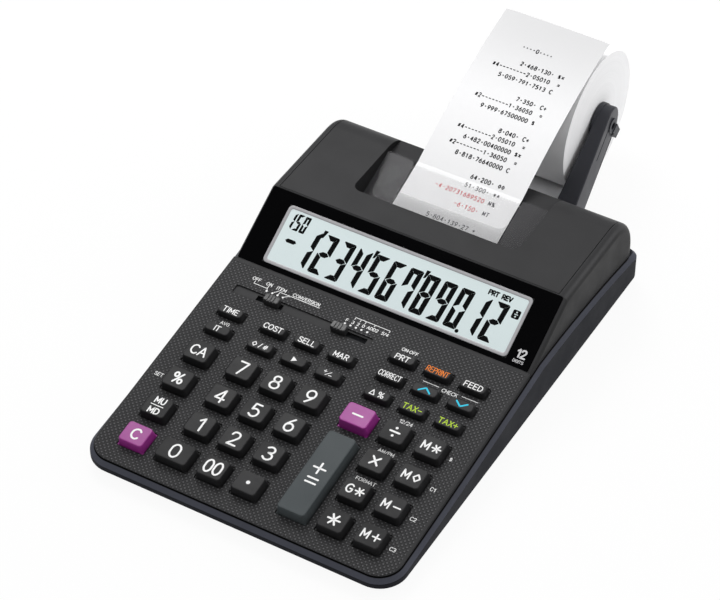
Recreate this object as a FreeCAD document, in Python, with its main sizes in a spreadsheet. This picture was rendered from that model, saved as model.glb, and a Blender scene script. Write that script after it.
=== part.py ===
import FreeCAD
import Part
import math
import os

# Desk printing calculator: two-part case, 43 keys, two slide switches, a tilted display,
# a printer bay with a lift-off cover and a paper roll carried on two folding arms.
# Frame: millimetres, +Z up, +X to the user's right, +Y away from the user.
# The origin lies on the table, under the middle of the overall box.

Vector = FreeCAD.Vector
Placement = FreeCAD.Placement
Rotation = FreeCAD.Rotation

doc = FreeCAD.newDocument("DeskCalculator")

# ---------------------------------------------------------------- driving dimensions
SIZES = [
    ("front_edge_y", -168, "front edge of the case, from the middle of the overall box"),
    ("case_width", 165, "lower case, across"),
    ("case_length", 245, "lower case, front to back"),
    ("case_bottom", 4, "underside of the case above the table"),
    ("floor_thickness", 1.8, "floor of the lower case"),
    ("wall_thickness", 3.2, "side wall of the lower case"),
    ("front_corner_radius", 14, "case corners in plan, front"),
    ("rear_corner_radius", 7, "case corners in plan, rear"),
    ("rim_bevel", 2.2, "bevel round the top of the lower case"),
    ("rim_front_height", 9.6, "rim of the lower case at the front edge"),
    ("rim_middle_height", 16.9, "rim halfway along the key field"),
    ("rim_kink_height", 27, "rim where it stops rising"),
    ("rim_kink_y", 141, "distance of that place from the front edge"),
    ("rim_rear_height", 18.4, "rim at the rear edge"),
    ("rim_rear_swell", 2.5, "how far the falling part of the rim bows upward"),
    ("parting_gap", 0.4, "shadow gap between the two case halves"),
    ("skin", 1.6, "upper case wall under the key field"),
    ("shell", 2, "upper case and printer cover wall"),
    ("upper_inset", 2.2, "upper case stands in from the lower case"),
    ("keypad_front_height", 10.2, "key field plane at the front edge"),
    ("keypad_tilt", 8, "slope of the key field, degrees"),
    ("keypad_rear_y", 131.5, "front edge to the foot of the display"),
    ("display_tilt", 29.2, "slope of the display, degrees"),
    ("display_slope", 40.4, "display, measured up its slope"),
    ("cover_rear_y", 218.5, "front edge to where the cover starts to round off"),
    ("cover_rear_radius", 20, "rounding of the cover at the rear"),
    ("cover_rear_lean", 15, "rear face from upright, degrees"),
    ("block_edge_radius", 4, "rounded side edges of the rear block"),
    ("keypad_edge_radius", 0.8, "rounded edge of the key field"),
    ("key_width", 13.8, "key at the panel, across"),
    ("key_depth", 12.5, "full size key at the panel, front to back"),
    ("key_height", 4.6, "full size key above the panel"),
    ("key_top_width", 12.4, "top of a key, across"),
    ("key_back_lean", 1.1, "how far the back of a key leans in"),
    ("key_front_lean", 0.15, "how far the front of a key leans in"),
    ("key_skirt", 2.6, "key below the panel surface"),
    ("cap_sink", 0.4, "tapered cap below the panel surface, above the straight skirt"),
    ("key_flange", 0.7, "flange that keeps a key in, each side"),
    ("key_flange_thickness", 0.8, "thickness of that flange"),
    ("key_corner_radius", 1.7, "upright corners of a key"),
    ("key_top_radius", 0.5, "edge of a key's top"),
    ("key_hole_gap", 0.45, "gap between key and panel"),
    ("key_hole_radius", 0.9, "corners of a key's hole"),
    ("small_key_depth", 6.2, "function key, front to back"),
    ("small_key_height", 3.4, "function key above the panel"),
    ("zero_key_width", 17.8, "width of the zero key"),
    ("plus_key_width", 15.4, "width of the plus key and the minus key"),
    ("plus_key_depth", 48.8, "length of the plus key"),
    ("plus_key_height", 5.6, "those two keys above the panel"),
    ("key_travel", 2, "how far a key goes down"),
    ("column_far_left", -61.8, "key columns, from the middle of the case"),
    ("column_seven", -38.4, ""),
    ("column_eight", -20, ""),
    ("column_nine", -1.5, ""),
    ("column_plus", 23.7, "plus key and minus key"),
    ("column_print", 24.6, "function keys above them"),
    ("column_times", 43.1, ""),
    ("column_memory", 61.8, ""),
    ("column_zero", -40.4, ""),
    ("row_first", 18.5, "key rows, up the key field from the front edge"),
    ("row_second", 36.7, ""),
    ("row_third", 54.9, ""),
    ("row_fourth", 73.1, ""),
    ("row_plus", 36.65, "middle of the tall plus key"),
    ("row_low", 89.3, "function key rows"),
    ("row_middle", 101.2, ""),
    ("row_high", 113.1, ""),
    ("switch_row", 115.9, "slide switches, up the key field"),
    ("switch_strip_width", 5.2, "recess of the slide switches"),
    ("switch_strip_left", -69.4, "left end of the recess"),
    ("switch_strip_right", 5.6, "right end of the recess"),
    ("switch_strip_depth", 0.7, "depth of the recess"),
    ("power_switch_x", -48.4, "power switch at rest, third of four places"),
    ("decimal_switch_x", -11.6, "decimal switch at rest, first of five places"),
    ("switch_step", 3, "from one switch place to the next"),
    ("mat_depth", 4.7, "top of the key mat below the panel surface"),
    ("mat_thickness", 0.4, ""),
    ("mat_low_edge", 11, "key mat, from here up the key field"),
    ("mat_length", 114, ""),
    ("board_thickness", 0.8, ""),
    ("board_low_edge", 17, "circuit board, from here up the key field"),
    ("board_length", 110, ""),
    ("board_width", 140.6, "circuit board and key mat, across"),
    ("bezel_width", 156.8, "display window, across"),
    ("bezel_thickness", 1.5, ""),
    ("lcd_width", 132.4, "liquid crystal panel, across"),
    ("lcd_slope", 31.2, "liquid crystal panel, up the slope"),
    ("lcd_low_edge", 3.1, "its lower edge above the foot of the display"),
    ("lcd_thickness", 2, ""),
    ("bay_half_width", 76, "printer bay, half its width"),
    ("cover_seam", 0.3, "seam round the printer cover"),
    ("well_half_width", 45, "paper well in the cover"),
    ("well_front_y", 183.3, "front wall of the well"),
    ("well_front_height", 34.6, "well floor at its front wall"),
    ("well_corner_radius", 4.5, "front corners of the well in plan"),
    ("tear_edge_y", 219, "tear edge, from the front edge of the case"),
    ("tear_edge_height", 47, "height of the tear edge"),
    ("tear_plate_thickness", 1.4, ""),
    ("ledge_height", 43.6, "sunk ledge behind the tear edge"),
    ("paper_width", 57.5, "paper strip"),
    ("strip_start_y", 220, "where the strip leaves the slot"),
    ("strip_start_height", 45.6, ""),
    ("strip_end_y", 309.5, "free end of the strip"),
    ("strip_end_height", 81, ""),
    ("strip_bulge", 3, "rise of the strip's bow"),
    ("strip_thickness", 0.4, ""),
    ("roll_y", 299.5, "axis of the paper roll"),
    ("roll_height", 39, ""),
    ("roll_radius", 36.5, ""),
    ("roll_width", 58.5, ""),
    ("roll_bore_radius", 6.1, ""),
    ("hub_radius", 6, "hub that carries the roll"),
    ("hub_reach", 8, "how far the hub enters the roll"),
    ("hub_disc_radius", 10, "disc between arm and roll"),
    ("arm_inner_x", 31.5, "inner face of an arm"),
    ("arm_base_thickness", 10.5, "arm at its hinge"),
    ("arm_tip_thickness", 6, "arm at the hub"),
    ("arm_tip_radius", 9.5, ""),
    ("arm_base_radius", 9, ""),
    ("arm_edge_radius", 0.7, ""),
    ("hinge_y", 254.6, "axis of the arm hinges"),
    ("hinge_height", 12.6, ""),
    ("hinge_pin_radius", 2.5, ""),
    ("hinge_clearance", 0.08, "all round the hinge pins"),
    ("lug_thickness", 1.8, "hinge lugs on the lower case"),
    ("lug_wall", 2.4, "hinge lug round its pin"),
    ("lug_gap", 0.3, "between lug and arm"),
    ("inlet_x", -62, "power inlet in the rear wall"),
    ("inlet_height", 11, ""),
    ("inlet_radius", 3.2, ""),
    ("post_radius", 3, "posts that join the two halves"),
    ("post_side", 74.2, "posts, from the middle"),
    ("post_top", 24, "the posts are no taller than this"),
    ("feed_roller_y", 192, "axis of the feed roller"),
    ("feed_roller_height", 26, ""),
    ("feed_roller_radius", 5.5, ""),
    ("feed_axle_radius", 1.5, ""),
    ("chassis_half_width", 36, "printer chassis"),
    ("chassis_front_y", 180, ""),
    ("chassis_rear_y", 232, ""),
    ("chassis_base", 14, "underside of the chassis"),
    ("chassis_side_height", 16, ""),
    ("chassis_plate", 1.6, "sheet of the chassis"),
    ("drum_radius", 6, "print drum"),
    ("drum_y", 203, ""),
    ("drum_height", 22.5, ""),
    ("motor_radius", 9.5, "printer motor"),
    ("motor_y", 221, ""),
    ("motor_height", 25, ""),
    ("motor_length", 36, ""),
    ("hatch_half_width", 53, "battery hatch, which runs in rails under the floor"),
    ("hatch_front_y", 137, ""),
    ("hatch_rear_y", 169, ""),
    ("hatch_thickness", 1.4, ""),
    ("hatch_gap", 0.1, "sliding gap all round the hatch"),
    ("hatch_overlap", 3.5, "how far the hatch covers the edge of the bay"),
    ("rail_thickness", 1, "lip and web of the hatch rails"),
    ("battery_bay_top", 21.6, ""),
    ("foot_radius", 6, "rubber feet"),
    ("foot_side", 68, "feet, from the middle"),
    ("foot_front_y", 18, ""),
    ("foot_rear_y", 226, ""),
]

sheet = doc.addObject("Spreadsheet::Sheet", "Sizes")
for row, (alias, value, note) in enumerate(SIZES, start=1):
    sheet.set(f"A{row}", alias)
    sheet.set(f"B{row}", str(value))
    sheet.setAlias(f"B{row}", alias)
    sheet.set(f"C{row}", note)
doc.recompute()


def size(alias):
    """The value of one driving dimension."""
    return float(sheet.get(alias))


FRONT = size("front_edge_y")
CASE_FLOOR = size("case_bottom") + size("floor_thickness")
HALF_WIDTH = size("case_width") / 2
UPPER_HALF_WIDTH = HALF_WIDTH - size("upper_inset")
SLOPE = math.radians(size("keypad_tilt"))
DISPLAY_SLOPE = math.radians(size("display_tilt"))
DISPLAY_FOOT_HEIGHT = size("keypad_front_height") + size("keypad_rear_y") * math.tan(SLOPE)
DISPLAY_TOP_Y = size("keypad_rear_y") + size("display_slope") * math.cos(DISPLAY_SLOPE)
COVER_HEIGHT = DISPLAY_FOOT_HEIGHT + size("display_slope") * math.sin(DISPLAY_SLOPE)

CASE_FRAME = Placement(Vector(0, FRONT, 0), Rotation())
KEYPAD_FRAME = Placement(Vector(0, FRONT, size("keypad_front_height")),
                         Rotation(Vector(1, 0, 0), size("keypad_tilt")))
DISPLAY_FRAME = Placement(Vector(0, FRONT + size("keypad_rear_y"), DISPLAY_FOOT_HEIGHT),
                          Rotation(Vector(1, 0, 0), size("display_tilt")))

parts = []


def keep(obj, node):
    """Name a finished sub-part and list it for export."""
    obj.Label = node
    parts.append(obj)
    return obj


def bind(obj, **properties):
    """Bind properties of an object to cells or expressions of the sheet."""
    for name, expression in properties.items():
        obj.setExpression(name, expression)
    return obj


def primitive(kind, name, **properties):
    return bind(doc.addObject(kind, name), **properties)


def feature(name, shape, frame):
    """A sub-part whose shape is built with Part's own functions."""
    obj = doc.addObject("Part::Feature", name)
    obj.Shape = shape
    obj.Placement = frame
    return obj


def box(x_range, y_range, z_range):
    """A plain block between two limits on each axis."""
    length, width, height = (high - low for low, high in (x_range, y_range, z_range))
    return Part.makeBox(length, width, height, Vector(x_range[0], y_range[0], z_range[0]))


def cylinder_along_x(radius, x_range, y, z):
    return Part.makeCylinder(radius, x_range[1] - x_range[0], Vector(x_range[0], y, z), Vector(1, 0, 0))


def side_profile(edges, x_range):
    """Extrude a closed outline drawn in the YZ plane across X."""
    face = Part.Face(Part.Wire(edges))
    face.translate(Vector(x_range[0], 0, 0))
    return face.extrude(Vector(x_range[1] - x_range[0], 0, 0))


def line(first, second):
    return Part.LineSegment(Vector(0, *first), Vector(0, *second)).toShape()


def arc(first, middle, last):
    return Part.Arc(Vector(0, *first), Vector(0, *middle), Vector(0, *last)).toShape()


def polygon(points, x_range):
    closed = list(points) + [points[0]]
    return side_profile([line(a, b) for a, b in zip(closed, closed[1:])], x_range)


def is_upright(edge):
    extent = edge.BoundBox
    return extent.XLength < 0.01 and extent.YLength < 0.01


def is_side_edge(edge):
    """True where an edge runs along the flank of the case rather than across it."""
    return edge.BoundBox.XLength < 15


def plan_outline(half_width, front_y, rear_y, front_radius, rear_radius, z_range):
    """A block with rounded upright corners, the front pair and the rear pair each with a radius."""
    block = box((-half_width, half_width), (front_y, rear_y), z_range)
    middle = (front_y + rear_y) / 2
    for radius, is_front in ((front_radius, True), (rear_radius, False)):
        corners = [edge for edge in block.Edges
                   if is_upright(edge) and (edge.CenterOfMass.y < middle) == is_front]
        corners = [edge for edge in corners if abs(abs(edge.CenterOfMass.x) - half_width) < 0.01]
        block = block.makeFillet(radius, corners)
    return block


def rounded_block(x_range, y_range, z_range, radius):
    block = box(x_range, y_range, z_range)
    return block.makeFillet(radius, [edge for edge in block.Edges if is_upright(edge)])


def on_keypad(shape):
    """Move a shape drawn on the key field into the case frame."""
    shape.Placement = KEYPAD_FRAME.multiply(shape.Placement)
    shape.translate(Vector(0, -FRONT, 0))
    return shape


def on_display(shape):
    """Move a shape drawn on the display slope into the case frame."""
    shape.Placement = DISPLAY_FRAME.multiply(shape.Placement)
    shape.translate(Vector(0, -FRONT, 0))
    return shape


# ---------------------------------------------------------------- keys
SMALL, FULL, ZERO, WIDE, TALL = "small", "full", "zero", "wide", "tall"
KEYS = [
    ("key_clear", "column_far_left", "row_first", FULL),
    ("key_mark_up", "column_far_left", "row_second", FULL),
    ("key_percent", "column_far_left", "row_third", FULL),
    ("key_clear_all", "column_far_left", "row_fourth", FULL),
    ("key_item_average", "column_far_left", "row_low", SMALL),
    ("key_time", "column_far_left", "row_middle", SMALL),
    ("key_0", "column_zero", "row_first", ZERO),
    ("key_1", "column_seven", "row_second", FULL),
    ("key_4", "column_seven", "row_third", FULL),
    ("key_7", "column_seven", "row_fourth", FULL),
    ("key_non_add", "column_seven", "row_low", SMALL),
    ("key_cost", "column_seven", "row_middle", SMALL),
    ("key_00", "column_eight", "row_first", FULL),
    ("key_2", "column_eight", "row_second", FULL),
    ("key_5", "column_eight", "row_third", FULL),
    ("key_8", "column_eight", "row_fourth", FULL),
    ("key_backspace", "column_eight", "row_low", SMALL),
    ("key_sell", "column_eight", "row_middle", SMALL),
    ("key_point", "column_nine", "row_first", FULL),
    ("key_3", "column_nine", "row_second", FULL),
    ("key_6", "column_nine", "row_third", FULL),
    ("key_9", "column_nine", "row_fourth", FULL),
    ("key_sign_change", "column_nine", "row_low", SMALL),
    ("key_margin", "column_nine", "row_middle", SMALL),
    ("key_plus_equals", "column_plus", "row_plus", TALL),
    ("key_minus", "column_plus", "row_fourth", WIDE),
    ("key_delta_percent", "column_print", "row_low", SMALL),
    ("key_correct", "column_print", "row_middle", SMALL),
    ("key_print", "column_print", "row_high", SMALL),
    ("key_total", "column_times", "row_first", FULL),
    ("key_grand_total", "column_times", "row_second", FULL),
    ("key_multiply", "column_times", "row_third", FULL),
    ("key_divide", "column_times", "row_fourth", FULL),
    ("key_tax_minus", "column_times", "row_low", SMALL),
    ("key_check_up", "column_times", "row_middle", SMALL),
    ("key_reprint", "column_times", "row_high", SMALL),
    ("key_memory_plus", "column_memory", "row_first", FULL),
    ("key_memory_minus", "column_memory", "row_second", FULL),
    ("key_memory_subtotal", "column_memory", "row_third", FULL),
    ("key_memory_total", "column_memory", "row_fourth", FULL),
    ("key_tax_plus", "column_memory", "row_low", SMALL),
    ("key_check_down", "column_memory", "row_middle", SMALL),
    ("key_feed", "column_memory", "row_high", SMALL),
]
KEY_SIZES = {
    SMALL: ("key_width", "small_key_depth", "small_key_height"),
    FULL: ("key_width", "key_depth", "key_height"),
    ZERO: ("zero_key_width", "key_depth", "key_height"),
    WIDE: ("plus_key_width", "key_depth", "plus_key_height"),
    TALL: ("plus_key_width", "plus_key_depth", "plus_key_height"),
}


def key_footprint(kind):
    width, depth, _ = KEY_SIZES[kind]
    return size(width), size(depth)


def key(node, column, row, kind):
    """One key: a tapered cap over a straight skirt that ends in a flange under the panel.

    A wedge's height runs along its own Y axis, so it is turned to stand on the panel.
    """
    width, depth, height = (f"Sizes.{alias}" for alias in KEY_SIZES[kind])
    sink = "Sizes.cap_sink"
    side_lean = f"(Sizes.key_width - Sizes.key_top_width) / 2 / {height}"
    back_lean = f"Sizes.key_back_lean / {height}"
    front_lean = f"Sizes.key_front_lean / {height}"
    cap = primitive(
        "Part::Wedge", node + "_cap",
        Ymin=f"-{sink}", Ymax=height,
        Xmin=f"-{width} / 2 - {side_lean} * {sink}",
        Xmax=f"{width} / 2 + {side_lean} * {sink}",
        X2min=f"-{width} / 2 + {side_lean} * {height}",
        X2max=f"{width} / 2 - {side_lean} * {height}",
        Zmin=f"-{depth} / 2 - {back_lean} * {sink}",
        Zmax=f"{depth} / 2 + {front_lean} * {sink}",
        Z2min=f"-{depth} / 2 + {back_lean} * {height}",
        Z2max=f"{depth} / 2 - {front_lean} * {height}")
    cap.Placement = Placement(Vector(), Rotation(Vector(1, 0, 0), 90))
    skirt = primitive("Part::Box", node + "_skirt", Length=width, Width=depth,
                      Height=f"Sizes.key_skirt - {sink} / 2")
    bind(skirt, **{"Placement.Base.x": f"-{width} / 2",
                   "Placement.Base.y": f"-{depth} / 2",
                   "Placement.Base.z": "-Sizes.key_skirt"})
    flange = primitive(
        "Part::Box", node + "_flange",
        Length=f"{width} + 2 * Sizes.key_flange",
        Width=f"{depth} + 2 * Sizes.key_flange",
        Height="Sizes.key_flange_thickness")
    bind(flange, **{"Placement.Base.x": f"-{width} / 2 - Sizes.key_flange",
                    "Placement.Base.y": f"-{depth} / 2 - Sizes.key_flange",
                    "Placement.Base.z": "-Sizes.key_skirt"})
    doc.recompute()
    rounded = doc.addObject("Part::Fillet", node + "_rounded")
    rounded.Base = cap
    top = cap.Shape.BoundBox.ZMax
    edges = []
    for index, edge in enumerate(cap.Shape.Edges, start=1):
        heights = [vertex.Z for vertex in edge.Vertexes]
        if max(heights) - min(heights) > 1:
            edges.append((index, size("key_corner_radius"), size("key_corner_radius")))
        elif min(heights) > top - 0.01:
            edges.append((index, size("key_top_radius"), size("key_top_radius")))
    rounded.Edges = edges
    whole = doc.addObject("Part::MultiFuse", node)
    whole.Shapes = [rounded, skirt, flange]
    whole.Placement = Placement(Vector(), KEYPAD_FRAME.Rotation)
    bind(whole, **{
        "Placement.Base.x": f"Sizes.{column}",
        "Placement.Base.y": f"Sizes.front_edge_y + Sizes.{row} * cos(Sizes.keypad_tilt * 1 deg)",
        "Placement.Base.z": f"Sizes.keypad_front_height + Sizes.{row} * sin(Sizes.keypad_tilt * 1 deg)"})
    keep(whole, node)


# ---------------------------------------------------------------- lower case
def rim_edges(offset):
    """The rim of the lower case seen from the side, raised by an offset: a long hollow curve
    that rises under the key field, then a flatter one that falls to the rear."""
    kink = (size("rim_kink_y"), size("rim_kink_height") + offset)
    front = (0, size("rim_front_height") + offset)
    middle = (size("rim_kink_y") / 2, size("rim_middle_height") + offset)
    rear = (size("case_length"), size("rim_rear_height") + offset)
    fall_middle = ((kink[0] + rear[0]) / 2, (kink[1] + rear[1]) / 2 + size("rim_rear_swell"))
    return front, kink, rear, arc(front, middle, kink), arc(kink, fall_middle, rear)


def below_rim(offset, bottom):
    front, _, rear, rise, fall = rim_edges(offset)
    low_front = (front[0], bottom)
    low_rear = (rear[0], bottom)
    edges = [rise, fall, line(rear, low_rear), line(low_rear, low_front), line(low_front, front)]
    reach = HALF_WIDTH + 5
    return side_profile(edges, (-reach, reach))


def hinge_lugs():
    """Two pairs of lugs behind the rear wall, one pair for each arm."""
    y = size("hinge_y")
    z = size("hinge_height")
    radius = size("hinge_pin_radius") + size("lug_wall")
    gap = size("lug_gap")
    inner = size("arm_inner_x") - gap
    outer = size("arm_inner_x") + size("arm_base_thickness") + gap
    wall = size("case_length") - 1
    lugs = []
    for side in (-1, 1):
        for near, far in ((inner - size("lug_thickness"), inner), (outer, outer + size("lug_thickness"))):
            x_range = sorted((side * near, side * far))
            plate = box(x_range, (wall, y), (z - radius, z + radius))
            eye = cylinder_along_x(radius, x_range, y, z)
            lugs.append(plate.fuse(eye))
    return lugs


def hinge_bore():
    reach = HALF_WIDTH
    radius = size("hinge_pin_radius") + size("hinge_clearance")
    return cylinder_along_x(radius, (-reach, reach), size("hinge_y"), size("hinge_height"))


def hatch_rails():
    """Two rails under the floor that carry the hatch, joined by a stop across the front."""
    gap = size("hatch_gap")
    thin = size("rail_thickness")
    half = size("hatch_half_width")
    top = size("case_bottom") + 0.3
    hatch_low = size("case_bottom") - gap - size("hatch_thickness")
    lip_low = hatch_low - gap - thin
    front = size("hatch_front_y") - gap - thin
    rear = size("hatch_rear_y") - 2
    rails = [box((-half - gap - thin, half + gap + thin), (front, front + thin), (lip_low, top))]
    for side in (-1, 1):
        web = sorted((side * (half + gap), side * (half + gap + thin)))
        lip = sorted((side * (half - 2), side * (half + gap + thin)))
        rails.append(box(web, (front, rear), (lip_low, top)))
        rails.append(box(lip, (front, rear), (lip_low, lip_low + thin)))
    return rails


def joining_posts():
    """Posts along both sides that reach up to the underside of the key field."""
    posts = []
    base = CASE_FLOOR - 0.5
    for x in (-size("post_side"), size("post_side")):
        for y in (24, 76, 126, 178, 228):
            top = min(keypad_height(y - 4) - size("skin") - 0.3, size("post_top"))
            posts.append(Part.makeCylinder(size("post_radius"), top - base, Vector(x, y, base)))
    return posts


def bevel_rim(solid, bottom):
    """Bevel the top edge. The rim has a kink, so each side of it is bevelled on its own."""
    halves = []
    kink = size("rim_kink_y")
    for y_range in ((-5, kink), (kink, size("case_length") + 5)):
        half = solid.common(box((-100, 100), y_range, (0, 60)))
        rim = []
        for edge in half.Edges:
            extent = edge.BoundBox
            on_kink = abs(extent.YMin - kink) < 0.01 and abs(extent.YMax - kink) < 0.01
            if not is_upright(edge) and not on_kink and extent.ZMin > bottom + 2:
                rim.append(edge)
        halves.append(half.makeChamfer(size("rim_bevel"), rim))
    return halves[0].fuse(halves[1])


def lower_case():
    length = size("case_length")
    bottom = size("case_bottom")
    block = plan_outline(HALF_WIDTH, 0, length, size("front_corner_radius"),
                         size("rear_corner_radius"), (bottom, 40))
    solid = block.common(below_rim(0, bottom - 1))
    solid = bevel_rim(solid, bottom)
    foot_edges = [edge for edge in solid.Edges if edge.BoundBox.ZMax < bottom + 0.01]
    solid = solid.makeFillet(1.2, foot_edges)
    wall = size("wall_thickness")
    hollow = plan_outline(HALF_WIDTH - wall, wall, length - wall, size("front_corner_radius") - wall,
                          size("rear_corner_radius") - wall, (CASE_FLOOR, 60))
    solid = solid.cut(hollow)
    overlap = size("hatch_overlap")
    half = size("hatch_half_width") - overlap
    x_range = (-half, half)
    y_range = (size("hatch_front_y") + overlap, size("hatch_rear_y") - overlap)
    solid = solid.cut(box(x_range, y_range, (bottom - 1, CASE_FLOOR + 1)))
    # walls and roof of the battery bay, open towards the hatch
    thin = 1.4
    bay_x = (x_range[0] - thin, x_range[1] + thin)
    bay_y = (y_range[0] - thin, y_range[1] + thin)
    top = size("battery_bay_top")
    bay = box(bay_x, bay_y, (CASE_FLOOR - 0.5, top))
    bay = bay.cut(box(x_range, y_range, (bottom, top - thin)))
    solid = solid.multiFuse([bay] + hinge_lugs() + hatch_rails() + joining_posts())
    solid = solid.cut(hinge_bore())
    inlet = Part.makeCylinder(size("inlet_radius"), 8, Vector(size("inlet_x"), length - 6, size("inlet_height")),
                              Vector(0, 1, 0))
    solid = solid.cut(inlet)
    keep(feature("lower_case", solid.removeSplitter(), CASE_FRAME), "lower_case")


# ---------------------------------------------------------------- upper case and printer cover
def rear_slope():
    """Points of the rounded fall from the cover to the rear rim."""
    radius = size("cover_rear_radius")
    centre = (size("cover_rear_y"), COVER_HEIGHT - radius)
    lean = math.radians(size("cover_rear_lean"))
    half_way = (math.radians(90) + lean) / 2
    start = (centre[0], COVER_HEIGHT)
    middle = (centre[0] + radius * math.cos(half_way), centre[1] + radius * math.sin(half_way))
    last = (centre[0] + radius * math.cos(lean), centre[1] + radius * math.sin(lean))
    foot_z = 15
    foot = (last[0] + (last[1] - foot_z) * math.tan(lean), foot_z)
    return start, middle, last, foot


def keypad_height(y):
    return size("keypad_front_height") + y * math.tan(SLOPE)


def upper_outside():
    """The solid that the upper case and printer cover are cut from, down to the parting gap."""
    inset = size("upper_inset")
    rear = size("case_length") - inset
    split = size("keypad_rear_y")
    low = 5
    reach = HALF_WIDTH
    keypad = polygon([(0, low), (0, keypad_height(0)), (split, DISPLAY_FOOT_HEIGHT), (split, low)],
                     (-reach, reach))
    outline = plan_outline(UPPER_HALF_WIDTH, inset, rear, size("front_corner_radius") - inset,
                           size("rear_corner_radius") + 2, (low, 60))
    keypad = keypad.common(outline)
    split_face = split - 0.01
    edges = [edge for edge in keypad.Edges
             if edge.CenterOfMass.y < split_face and edge.BoundBox.ZMin > low + 3
             and edge.BoundBox.ZMax - edge.BoundBox.ZMin < 25
             and not is_upright(edge)]
    keypad = keypad.makeFillet(size("keypad_edge_radius"), edges)
    start, middle, last, foot = rear_slope()
    display_foot = (split, DISPLAY_FOOT_HEIGHT)
    display_top = (DISPLAY_TOP_Y, COVER_HEIGHT)
    block = side_profile([
        line((split, low), display_foot), line(display_foot, display_top), line(display_top, start),
        arc(start, middle, last), line(last, foot), line(foot, (foot[0], low)),
        line((foot[0], low), (split, low))], (-reach, reach)).common(outline)
    edges = [edge for edge in block.Edges
             if abs(edge.CenterOfMass.x) > UPPER_HALF_WIDTH - 8 and edge.CenterOfMass.y > split + 0.1
             and edge.BoundBox.ZMin > low + 1 and not is_upright(edge) and is_side_edge(edge)]
    block = block.makeFillet(size("block_edge_radius"), edges)
    solid = keypad.fuse(block)
    return solid.cut(below_rim(size("parting_gap"), -10))


def upper_inside():
    """The hollow under the upper case and the printer cover."""
    inset = size("upper_inset")
    skin = size("skin") / math.cos(SLOPE)
    shell = size("shell")
    front = inset + shell
    under_display = 3.4
    split = size("keypad_rear_y") + under_display * math.tan((SLOPE + DISPLAY_SLOPE) / 2)
    drop = under_display / math.cos(DISPLAY_SLOPE)
    top = COVER_HEIGHT - shell
    run = (top - (DISPLAY_FOOT_HEIGHT - drop)) / math.tan(DISPLAY_SLOPE)
    ceiling_y = size("keypad_rear_y") + run
    start, middle, last, foot = rear_slope()
    low = -10
    outline = [(front, low), (front, keypad_height(front) - skin), (split, keypad_height(split) - skin),
               (split + 0.5, DISPLAY_FOOT_HEIGHT + 0.5 * math.tan(DISPLAY_SLOPE) - drop), (ceiling_y, top),
               (start[0] + 3, top), (middle[0] - 1.4, middle[1] - 1.4), (last[0] - 2, last[1] - 1),
               (foot[0] - 3, foot[1]), (foot[0] - 3, low)]
    half = UPPER_HALF_WIDTH - shell
    return polygon(outline, (-half, half))


def key_holes():
    holes = []
    gap = size("key_hole_gap")
    for _, column, row, kind in KEYS:
        width, depth = key_footprint(kind)
        x = size(column)
        u = size(row)
        hole = rounded_block((x - width / 2 - gap, x + width / 2 + gap),
                             (u - depth / 2 - gap, u + depth / 2 + gap), (-4, 4),
                             size("key_hole_radius"))
        holes.append(on_keypad(hole))
    return holes


def switch_recess():
    """The long recess of the slide switches with the slot of each switch."""
    row = size("switch_row")
    half = size("switch_strip_width") / 2
    strip = rounded_block((size("switch_strip_left"), size("switch_strip_right")),
                          (row - half, row + half), (-size("switch_strip_depth"), 3), 1.2)
    slots = [strip]
    step = size("switch_step")
    for rest, back, forth in ((size("power_switch_x"), 2 * step, step),
                              (size("decimal_switch_x"), 0, 4 * step)):
        slots.append(box((rest - back - 2.6, rest + forth + 2.6), (row - 1.5, row + 1.5), (-4, 3)))
    return [on_keypad(slot) for slot in slots]


def display_cuts():
    half = size("bezel_width") / 2 + 0.15
    slope = size("display_slope")
    seat = rounded_block((-half, half), (0.35, slope - 0.35), (-size("bezel_thickness") - 0.1, 5), 1)
    lcd_half = size("lcd_width") / 2 + 0.3
    low = size("lcd_low_edge")
    window = box((-lcd_half, lcd_half), (low - 0.3, low + size("lcd_slope") + 0.3), (-8, 5))
    return [on_display(seat), on_display(window)]


def bay_block(margin, front_margin):
    """The part of the rear block that lifts off, grown by a margin."""
    half = size("bay_half_width") + margin
    return box((-half, half), (DISPLAY_TOP_Y + 0.3 - front_margin, 300), (-20, 80))


def upper_case(shell_solid):
    solid = shell_solid.cut(bay_block(0, 0))
    solid = solid.cut(Part.makeCompound(key_holes() + switch_recess() + display_cuts()))
    # ledges that the printer cover rests on, one along each side of the bay
    ledges = []
    for side in (-1, 1):
        x_range = sorted((side * (size("bay_half_width") - 2.5), side * (UPPER_HALF_WIDTH - 1)))
        ledges.append(box(x_range, (DISPLAY_TOP_Y + 4, 215), (41, COVER_HEIGHT - size("shell") - 0.3)))
    solid = solid.multiFuse(ledges)
    keep(feature("upper_case", solid.removeSplitter(), CASE_FRAME), "upper_case")


def well_floor_slope():
    run = size("tear_edge_y") - size("well_front_y")
    return math.atan2(size("tear_edge_height") - size("well_front_height"), run)


def well_space(side_margin, end_margin, drop):
    """The open wedge of the paper well above the tear plate, grown by margins."""
    front = size("well_front_y") - end_margin
    rear = 300
    tear = size("tear_edge_y")
    slope = math.tan(well_floor_slope())
    height_at_front = size("well_front_height") - end_margin * slope - drop
    ledge = size("ledge_height") - drop
    half = size("well_half_width") + side_margin
    wedge = polygon([(front, height_at_front), (tear, size("tear_edge_height") - drop), (tear, ledge),
                     (rear, ledge), (rear, 80), (front, 80)], (-half, half))
    plan = rounded_block((-half, half), (front, rear), (0, 90), size("well_corner_radius") + side_margin)
    return wedge.common(plan)


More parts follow.
